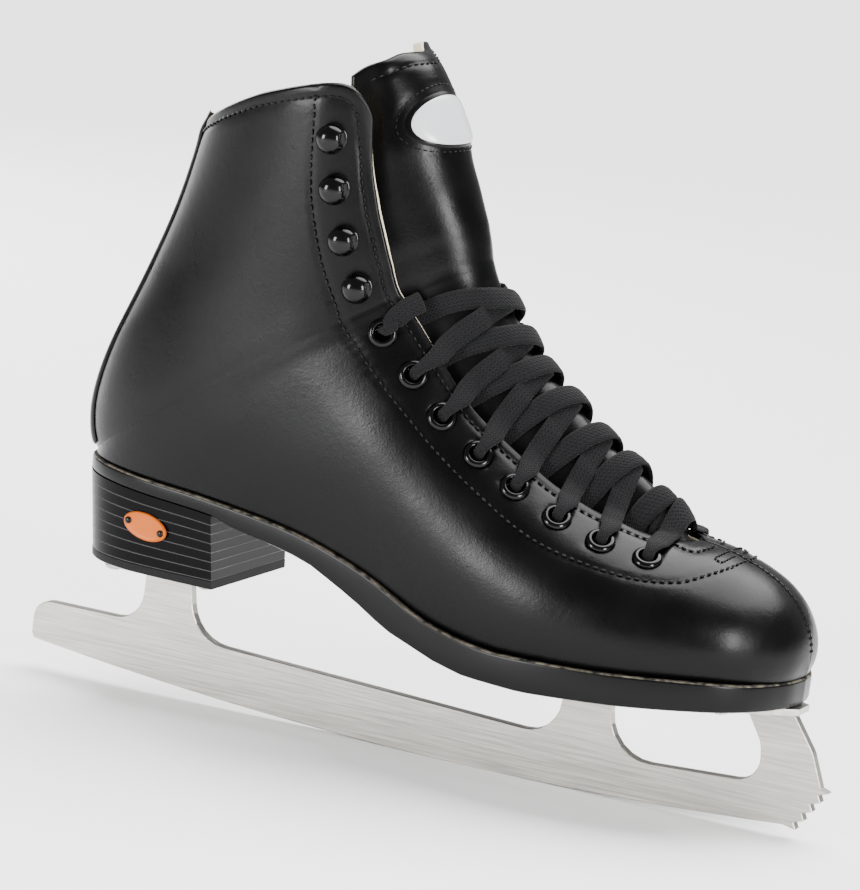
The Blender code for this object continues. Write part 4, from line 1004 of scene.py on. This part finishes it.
def upper_half(side, word):
    """Leather with its lining: one quarter, from the toe's centre seam to the back seam."""
    rows, shares = upper_rows(), upper_shares()
    holes = [point for point, _ in lacing_frames(side)[0]]

    def spot(i, j):
        s = rows[i]
        start = facing_v(s)
        return s, start + (1 - start) * shares[j]

    def place(key, level):
        i, j = key
        s, v = spot(i, j)
        arc = shares[j] * QUARTER_REACH
        edge = arc
        if s > 20:
            edge = min(edge, (TOP_S - s) * COLLAR_EDGE_ROW)
        depth = {0: rolled(edge), 1: LEATHER, 2: LEATHER + .12, 3: SHELL - rolled(edge, .6)}[level]
        out = {2: .42, 3: .30}.get(level, 0.0) * (1 + 1.2 * smooth_step((s - 19) / 3))
        point = offset_skin(s, v, side, -depth, .12 + (.5 * rolled(arc, 1.0) if s < THROAT_S else 0))
        if out and s > THROAT_S + .1 and j == 0:
            point = point - unit(offset_skin(s, min(v + .03, 1), side, -depth, .12) - point) * out
        return point
    cells = []
    for cell in grid_cells(len(rows), len(shares), lambda i, j: (i, j)):
        middle = sum(skin(*spot(*k), side) for k in cell) / len(cell)
        if all(np.linalg.norm(middle - p) > EYELET_HOLE for p in holes):
            cells.append(cell)
    made = shell(f"upper_{word}", cells, place, (LEATHER_LOOK, LINING_LOOK), 4, [0, 1, 1])
    return smooth_out(made, 1)


def on_leather(line, side, out=0.0):
    """(point, outward) pairs for the (s, v) spots of a line."""
    return [(offset_skin(s, v, side, out), normal(round(float(s), 4), round(float(v), 4), side))
            for s, v in line]


# The seam behind the eyelets starts as an arc in (s, v) round the throat: its foremost station, the
# station of its centre and the v that it opens to. Then it keeps a distance in millimetres behind
# the facing edge, given by station.
SEAM_FRONT_S, SEAM_CENTRE_S, SEAM_V = 5.55, 6.8, .279
SEAM_BEHIND = ((7, 25), (8.5, 24.5), (10, 22), (11, 20.5), (13, 22), (17, 22.5), (19, 21.5),
               (20.5, 22.5), (21.5, 23), (22.5, 22.5), (23.97, 21.5))


def eyestay_row():
    """Stitch row of the seam behind the eyelets."""
    line = []
    for turn in np.radians((2.5, 17, 30, 47, 64)):
        line.append((SEAM_CENTRE_S - (SEAM_CENTRE_S - SEAM_FRONT_S) * math.cos(turn),
                     SEAM_V * math.sin(turn)))
    line += [(s, inward_v(s, behind)) for s, behind in SEAM_BEHIND]
    return [tuple(p) for p in spline(line, 10)]


def edge_row():
    """Stitch row just inside the facing edge, round the front corner and along the collar."""
    line = [(6.19, .02), (6.22, .06), (6.36, .105)]
    line += [(s, inward_v(round(float(s), 3), 4.2)) for s in np.arange(6.75, 23.45, .3)]
    line += [(23.68, inward_v(23.68, 5.6)), (23.80, inward_v(23.8, 8.6))]
    line += [(23.835, v) for v in np.linspace(inward_v(23.8, 14.0), .985, 16)]
    return [tuple(p) for p in spline(line, 5)]


def upper():
    for side, word in ((-1, "right"), (1, "left")):
        made = upper_half(side, word)
        outer_row = on_leather(edge_row(), side)
        inner_row = on_leather(eyestay_row(), side)
        for run in (outer_row, inner_row):
            press(made, [p for p, _ in run], .42, .95)
        toe_row = on_leather([(s, .62 / max(station(round(float(s), 3))[4], 4) / math.pi)
                              for s in np.arange(.9, 6.2, .06)], side)
        hold(made, "leather", [f"quarter_{word}"] + (["lining"] if side < 0 else []))
        stitches(f"stitches_edge_{word}", [outer_row], THREAD_LOOK, 2.2, .40, 2.8)
        stitches(f"stitches_eyestay_{word}", [inner_row], THREAD_LOOK, 2.2, .40, 2.8)
        stitches(f"stitches_toe_{word}", [toe_row], THREAD_LOOK, 1.1, .26, 2.2)
        stitches(f"bar_tack_{word}", [tack_box(side)], THREAD_LOOK, 1.5, .32, 1.75)


def tack_box(side):
    """Little stitched box beside the seam that keeps the throat from tearing."""
    corners = [(5.92, .012), (5.96, .085), (5.99, .098), (5.86, .105), (5.80, .095), (5.76, .012)]
    return on_leather([tuple(p) for p in spline(corners, 6)], side, .1)


def back_piping():
    """Leather strip over the back seam, with a knob where it ends at the collar."""
    top_rows = [23.7, 23.8, 23.9, 24.0, 24.08, 24.12]
    rows = [round(float(s), 3) for s in np.concatenate([np.arange(18.15, 23.6, .3), top_rows])]
    columns = 17

    def place(key, level):
        i, j = key
        s = rows[i]
        t = (j - (columns - 1) / 2) / ((columns - 1) / 2)
        side = -1 if t < 0 else 1
        knob = .55 * math.exp(-((s - 23.86) / .12) ** 2)
        taper = .22 + .78 * smooth_step((24.16 - s) / .3)
        reach = BACKSTAY_HALF / (math.pi * station(s)[4])
        folded_edge, seam = math.exp(-((abs(t) - .86) / .10) ** 2), math.exp(-(t / .16) ** 2)
        swell = .75 * (1 - t ** 8) ** .5 + .55 * folded_edge + .7 * seam
        point = offset_skin(s, 1 - reach * abs(t), side, .1 if level else .2 + (swell + knob) * taper)
        if t == 0:
            point[1] = 0.0
        return point
    made = shell("back_piping", grid_cells(len(rows), columns, lambda i, j: (i, j)), place, LEATHER_LOOK)
    hold(smooth_out(made, 1), "leather", ["backstay_piping"])


upper()
back_piping()


# ---------------------------------------------------------------- tongue
def tongue_half(s):
    low = min(facing_half(s), 25.0) + 9.0 if s >= 7 else 17.0 + 4.5 * (s - 6)
    high = float(np.interp(s, (14, 16.4, 19.2, 22, 23, 24.3), (34, 33.6, 32.4, 34, 35, 35)))
    return low + (high - low) * smooth_step((s - 12.5) / 3)


def tongue_top(s, w):
    """The top edge rises toward the far side and drops toward the near one."""
    raised = .22 * smooth_step((w - 4) / 20)
    dropped = .10 * smooth_step((-w - 13) / 16) + .16 * smooth_step((-w - 26) / 18)
    return s + (raised - dropped) * smooth_step((s - 22.9) / 1.2)


def tongue():
    rows = [round(float(s), 4) for s in np.concatenate([
        np.arange(6.4, 16.9, .25), np.arange(17, 20.9, .25), np.arange(21, 23.9, .13),
        [23.92, 24.0, 24.07, 24.13, 24.18, 24.215, 24.235]])]
    shares = [math.sin(a) for a in np.linspace(-math.pi / 2, math.pi / 2, 45)]

    def place(key, level):
        i, j = key
        s, t = rows[i], shares[j]
        half = tongue_half(s)
        if t < 0:                                    # wider on the near side, tucked into the shaft
            half = min(half * (1 + .30 * smooth_step((s - 22.2) / 1.6)), .93 * station(s)[4])
        w = t * half
        top_share = smooth_step((s - 22.6) / 1.6)
        edge = min(half * (1 - abs(t)) * .7, (24.24 - s) * TONGUE_EDGE_ROW)
        roll = rolled(edge, 1.9 - .7 * top_share)
        thick = 4.4 - 1.4 * top_share
        puff = .5 * math.sin(math.pi * min(1, max(0, (24.1 - s) / 1.2))) * (1 - abs(t))
        out = {0: puff - roll, 1: -thick * .62, 2: -thick + roll}[level]
        tuck = 3.4 * smooth_step((-w - 23) / 11) * smooth_step((s - 20.5) / 2.5)
        return tongue_point(tongue_top(s, w), w, out - tuck)
    cells = grid_cells(len(rows), len(shares), lambda i, j: (i, j))
    made = shell("tongue_padded", cells, place, (LEATHER_LOOK, LINING_LOOK), 3, [0, 1])
    made = smooth_out(made, 1)
    top_row = tongue_run([(tongue_top(24.06, w), w) for w in np.linspace(-31, 32, 60)])
    press(made, [p for p, _ in top_row], .35, .8)
    oval = tongue_run(badge_oval(19.9, .455))
    press(made, [p for p, _ in oval], .35, .8)
    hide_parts("tongue_lower", "tongue_upper")
    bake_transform(made)
    stitches("stitches_tongue_top", [top_row], THREAD_LOOK, body="tongue_top")
    stitches("stitches_badge", [oval], THREAD_LOOK, 1.7, .3, 2.3, body="tongue_top")
    badge()


def tongue_run(line, out=0.0):
    made = []
    for s, w in line:
        point = tongue_point(s, w, out)
        made.append((point, unit(tongue_point(s, w, out + 1) - point)))
    return made


BADGE_S, BADGE_W = 23.34, -3.4


def badge_oval(wide, tall, count=72):
    turns = [2 * math.pi * k / count for k in range(count + 1)]
    return [(BADGE_S + tall * math.sin(a), BADGE_W + wide * math.cos(a)) for a in turns]


def badge():
    """Plain glossy oval with a black rim round it, bent over the tongue."""
    around = 56
    rings = [0, .25, .5, .72, .88, .96, 1.0]

    def oval(name, wide, tall, rise, look, slot, nodes=()):
        def place(key, level):
            ring, k = key
            turn = 2 * math.pi * k / around
            share = rings[ring]
            s, w = BADGE_S + tall * share * math.sin(turn), BADGE_W + wide * share * math.cos(turn)
            return tongue_point(s, w, .05 if level else rise(share))
        key = lambda i, j: (i, j % around if i else 0)
        made = shell(name, grid_cells(len(rings), around + 1, key), place, look)
        return hold(smooth_out(made, 1), slot, nodes, "tongue_top")
    oval("badge_rim", 17.7, .385, lambda t: .8 * (1 - t ** 8) + .1, LEATHER_LOOK, "leather")
    oval("badge_plain", 15.7, .33, lambda t: 1.05 + .55 * (1 - t ** 6), BADGE_LOOK, "badge_white",
         ["tongue_badge"])


tongue()


# ---------------------------------------------------------------- eyelets and hooks
def lacing_hardware():
    depth = SHELL
    flange = [(3.0, .1), (2.85, .75), (3.0, 1.15), (3.4, 1.38), (3.9, 1.36), (4.4, 1.12), (4.85, .7),
              (5.05, .25), (5.0, .05), (3.3, .0), (3.3, -depth - .1), (4.1, -depth - .15),
              (4.2, -depth - .6), (3.6, -depth - .9), (3.0, -depth - .6)]
    dome = [(0, 7.5), (1.5, 7.4), (2.9, 6.95), (4.0, 6.1), (4.75, 5.0), (5.05, 3.9), (4.95, 3.0), (4.5, 2.5),
            (3.9, 2.3), (3.3, 2.1), (3.2, 1.2), (4.4, 1.0), (5.0, .7), (5.1, .25), (4.9, .02), (0, .02)]
    for side, word in ((-1, "right"), (1, "left")):
        eyelets, hooks = lacing_frames(side)
        for k, (point, out) in enumerate(eyelets):
            made = turned(f"eye_{word}_{k + 1}", flange, point, out, METAL_BLACK, 40, ring=True, angle=None)
            hold(made, "black_metal", [f"eyelet_{word}_{k + 1}"])
        for k, (point, out) in enumerate(hooks):
            made = turned(f"lace_hook_{word}_{k + 1}", dome, point, out, METAL_BLACK, 40, angle=None)
            notch = hook_slot(f"notch_{word}_{k}", point, out, side)
            cut_off(made, notch)
            hold(made, "black_metal", [f"hook_{word}_{k + 1}"])


def hook_slot(name, point, out, side):
    """Block that makes the notch where the lace goes; it opens toward the tongue."""
    hint = np.array((1.0, -.55 * side, .1))
    forward = unit(hint - out * np.dot(hint, out))
    across = np.cross(out, forward)
    verts = [point + forward * f + across * a + out * h
             for f in (3.1, 8.0) for a in (-2.3, 2.3) for h in (.9, 9.0)]
    faces = [(0, 1, 3, 2), (4, 6, 7, 5), (0, 4, 5, 1), (2, 3, 7, 6), (0, 2, 6, 4), (1, 5, 7, 3)]
    return new_object(name, verts, faces, None)


def cut_off(obj, cutter):
    modifier = obj.modifiers.new("cut", "BOOLEAN")
    modifier.operation, modifier.solver, modifier.object = "DIFFERENCE", "EXACT", cutter
    bevel = obj.modifiers.new("soften", "BEVEL")
    bevel.width, bevel.segments = .25 * MM, 2
    bevel.limit_method, bevel.angle_limit = "ANGLE", math.radians(50)
    settle(obj)
    bpy.data.objects.remove(cutter, do_unlink=True)
    obj.data.shade_smooth()
    obj.data.set_sharp_from_angle(angle=math.radians(50))


lacing_hardware()


# ---------------------------------------------------------------- sole and heel
def sole_bottom(x):
    """Height of the outsole's underside along the boot."""
    xs = (-71.5, -42, -33, -14.5, -1, 20, 32, 54, 87, 112, 126, 138)
    zs = (71.6, 65.9, 63.4, 55.2, 48.3, 42.4, 40.4, 39.8, 41.7, 43.7, 44.6, 45.1)
    return float(np.interp(x, xs, zs))


def slab(name, rows, levels, looks, marks=None):
    """Closed slab: each level is (grow by s, z by (s, x), shift in x), listed from the top down."""
    outline = [(s, -1) for s in rows] + [(s, 1) for s in reversed(rows)]
    verts, faces, rings, kinds = [], [], [], []
    for grow, height, shift in levels:
        ring = []
        for s, side in outline:
            x, y = outline_point(s, side, grow(s))
            ring.append(len(verts))
            verts.append((x + shift, y, height(s, x)))
        rings.append(ring)
    count = len(outline)
    for n, (high, low) in enumerate(zip(rings, rings[1:])):
        for k in range(count):
            m = (k + 1) % count
            faces.append((high[k], high[m], low[m], low[k]))
            kinds.append(marks[n] if marks else 0)
    for ring, kind in ((rings[0], 0), (rings[-1], marks[-1] if marks else 0)):
        half = count // 2
        for k in range(half - 1):
            faces.append((ring[k], ring[k + 1], ring[count - 2 - k], ring[count - 1 - k]))
            kinds.append(kind)
    made = new_object(name, verts, faces, looks, angle=38, marks=kinds)
    work = bmesh.new()
    work.from_mesh(made.data)
    bmesh.ops.remove_doubles(work, verts=work.verts, dist=.02 * MM)
    bmesh.ops.recalc_face_normals(work, faces=work.faces)
    work.to_mesh(made.data)
    work.free()
    made.data.shade_smooth()
    made.data.set_sharp_from_angle(angle=math.radians(38))
    return made


def sole_rows(first, last=18):
    rows = np.concatenate([np.arange(0, 1, .08), np.arange(1, 3, .16), np.arange(3, 14, .25),
                           np.arange(14, 16, .2), np.arange(16, 18, .1), [18]])
    return [round(float(s), 3) for s in rows if first <= s <= last]


def outsole():
    top = lambda s, x: edge_z(s) - .25

    def bottom(s, x):
        seat = edge_z(s) - GAP - HEEL_SEAT
        return seat if s >= 13 else min(seat, sole_bottom(x))
    middle = lambda s, x: bottom(s, x) + (top(s, x) - bottom(s, x)) * .5
    levels = [(lambda s: welt(s) - 1.6, lambda s, x: top(s, x) + .15, 0),
              (lambda s: welt(s) - .5, lambda s, x: top(s, x) + .05, 0),
              (lambda s: welt(s) - .12, lambda s, x: top(s, x) - .35, 0),
              (lambda s: welt(s) + .0, lambda s, x: top(s, x) - .95, 0),
              (lambda s: welt(s) - .02, middle, 0),
              (lambda s: welt(s) - .05, lambda s, x: bottom(s, x) + 1.3, 0),
              (lambda s: welt(s) - .35, lambda s, x: bottom(s, x) + .4, 0),
              (lambda s: welt(s) - 1.1, bottom, 0)]
    made = slab("outsole_edge", sole_rows(0), levels, (SOLE_LOOK, FEATHER_LOOK), marks=[1, 1, 0, 0, 0, 0, 0])
    hold(made, "sole", ["outsole"])


def heel():
    """Stacked heel with its grooves, and the top lift under it."""
    rows = sole_rows(13)
    split = HEEL_BOTTOM + TOP_LIFT
    seat = lambda s, x: edge_z(s) - HEEL_SEAT - .35
    def shape(share):
        return (lambda s: 1.1 - .9 * share), 2.6 * share
    levels, marks = [], []
    grooves = 6
    for k in range(grooves + 1):
        for offset, depth, mark in ((0.0, .18, 1), (.05, .0, 0), (.95, 0, 1)):
            share = (k + offset) / (grooves + 1)
            if k == 0 and offset == 0:
                depth = mark = 0
            marks.append(mark)
            grow, shift = shape(share)
            levels.append((lambda s, g=grow, d=depth: g(s) - d,
                           lambda s, x, t=share: seat(s, x) + (split + .1 - seat(s, x)) * t, shift))
    grow, shift = shape(1)
    levels.append((lambda s: .2, lambda s, x: split + .1, shift))
    block = slab("heel_stack", rows, levels, (HEEL_LOOK, SCRIBE_LOOK), marks=marks)
    hold(block, "sole", ["heel_block"])
    lift = slab("heel_lift", rows, [
        (lambda s: .1, lambda s, x: split, 2.6), (lambda s: .35, lambda s, x: split - .3, 2.65),
        (lambda s: .3, lambda s, x: HEEL_BOTTOM + .4, 2.85), (lambda s: -.1, lambda s, x: HEEL_BOTTOM, 2.9)],
        LIFT_LOOK)
    hold(lift, "sole", ["heel_top_lift"])


def heel_plate_badge():
    """Plain copper oval on the outer side of the heel, with its two pins."""
    centre = np.array((-96.5, -28.9, 64.2))
    along, up = unit(np.array((.98, -.075, -.17))), unit(np.array((.17, 0, .98)))
    axis = unit(np.cross(along, up))
    around = 64
    verts, faces = [], []
    rings = [(1.0, 0.0), (1.0, .5), (.97, .85), (.93, .98), (.88, .85), (.84, .80), (.4, .86), (0, .88)]
    starts = []
    for share, level in rings:
        starts.append(len(verts))
        for k in range(around if share else 1):
            turn = 2 * math.pi * k / around
            verts.append(centre + along * 8.7 * share * math.cos(turn) + up * 4.6 * share * math.sin(turn)
                         + axis * level)
    for a, b in zip(starts, starts[1:]):
        for k in range(around):
            n = (k + 1) % around
            faces.append((a + k, a + n, b + n, b + k) if b != starts[-1] else (a + k, a + n, b))
    faces.append(tuple(range(around)))
    hold(new_object("heel_oval", verts, faces, COPPER_LOOK, 40), "badge_copper", ["heel_badge"])
    for k, step in enumerate((-6.7, 6.7)):
        profile = [(0, .3), (1.0, .3), (1.25, .9), (1.15, 1.3), (.7, 1.6), (0, 1.7)]
        pin = turned(f"heel_pin_{k + 1}", profile, centre + along * step, axis, METAL_BLACK, 20, angle=None)
        hold(pin, "screw", [f"heel_badge_pin_{k + 1}"])


outsole()
heel()
heel_plate_badge()


# ---------------------------------------------------------------- CAD pieces that are shown as they are
def repaint():
    looks = {"steel": PLATE_LOOK, "screw": SCREW_LOOK, "clear_tip": TIP_LOOK,
             "board": principled("board", (.30, .21, .12), .8),
             "footbed": principled("footbed_grey", (.10, .10, .10), .9),
             "cork": principled("cork", (.45, .30, .17), .9)}
    for entry in frame["record"]["subparts"]:
        target = frame["nodes"][entry["node"]]
        look = STEEL_LOOK if entry["node"] == "blade_runner" else looks.get(entry["material_slot"])
        if look:
            for place in target.material_slots:
                place.link = "DATA"
            target.data.materials.clear()
            target.data.materials.append(look)


repaint()


# ---------------------------------------------------------------- floor and light
def floor_and_light():
    bpy.ops.mesh.primitive_plane_add(size=60, location=(0, 0, 0))
    floor = bpy.context.object
    floor.name = "floor"
    floor.data.materials.append(principled("floor_pale", (.90, .90, .90), .8))
    world = bpy.data.worlds.new("studio")
    bpy.context.scene.world = world
    world.use_nodes = True
    world.node_tree.nodes["Background"].inputs["Color"].default_value = (1, 1, 1, 1)
    world.node_tree.nodes["Background"].inputs["Strength"].default_value = .4

    def lamp(name, data, place, turn):
        made = bpy.data.objects.new(name, data)
        made.location, made.rotation_euler = place, turn
        bpy.context.scene.collection.objects.link(made)

    def panel(name, place, aim, size, power):
        data = bpy.data.lights.new(name, "AREA")
        data.shape, data.size, data.size_y, data.energy = "RECTANGLE", size[0], size[1], power
        lamp(name, data, place, (Vector(aim) - Vector(place)).to_track_quat("-Z", "Y").to_euler())
    sky = bpy.data.lights.new("overhead", "SUN")
    sky.energy, sky.angle = 9.5, math.radians(60)
    lamp("overhead", sky, (0, 0, 2), (math.radians(-22), math.radians(8), 0))
    panel("front", (1.2, -.75, .5), (.05, 0, .10), (.3, .6), 30)
    panel("side", (-.75, -1.35, .40), (-.03, 0, .12), (.4, .5), 31)
    panel("back", (-1.2, .8, .7), (0, 0, .12), (.4, 1.0), 20)


floor_and_light()
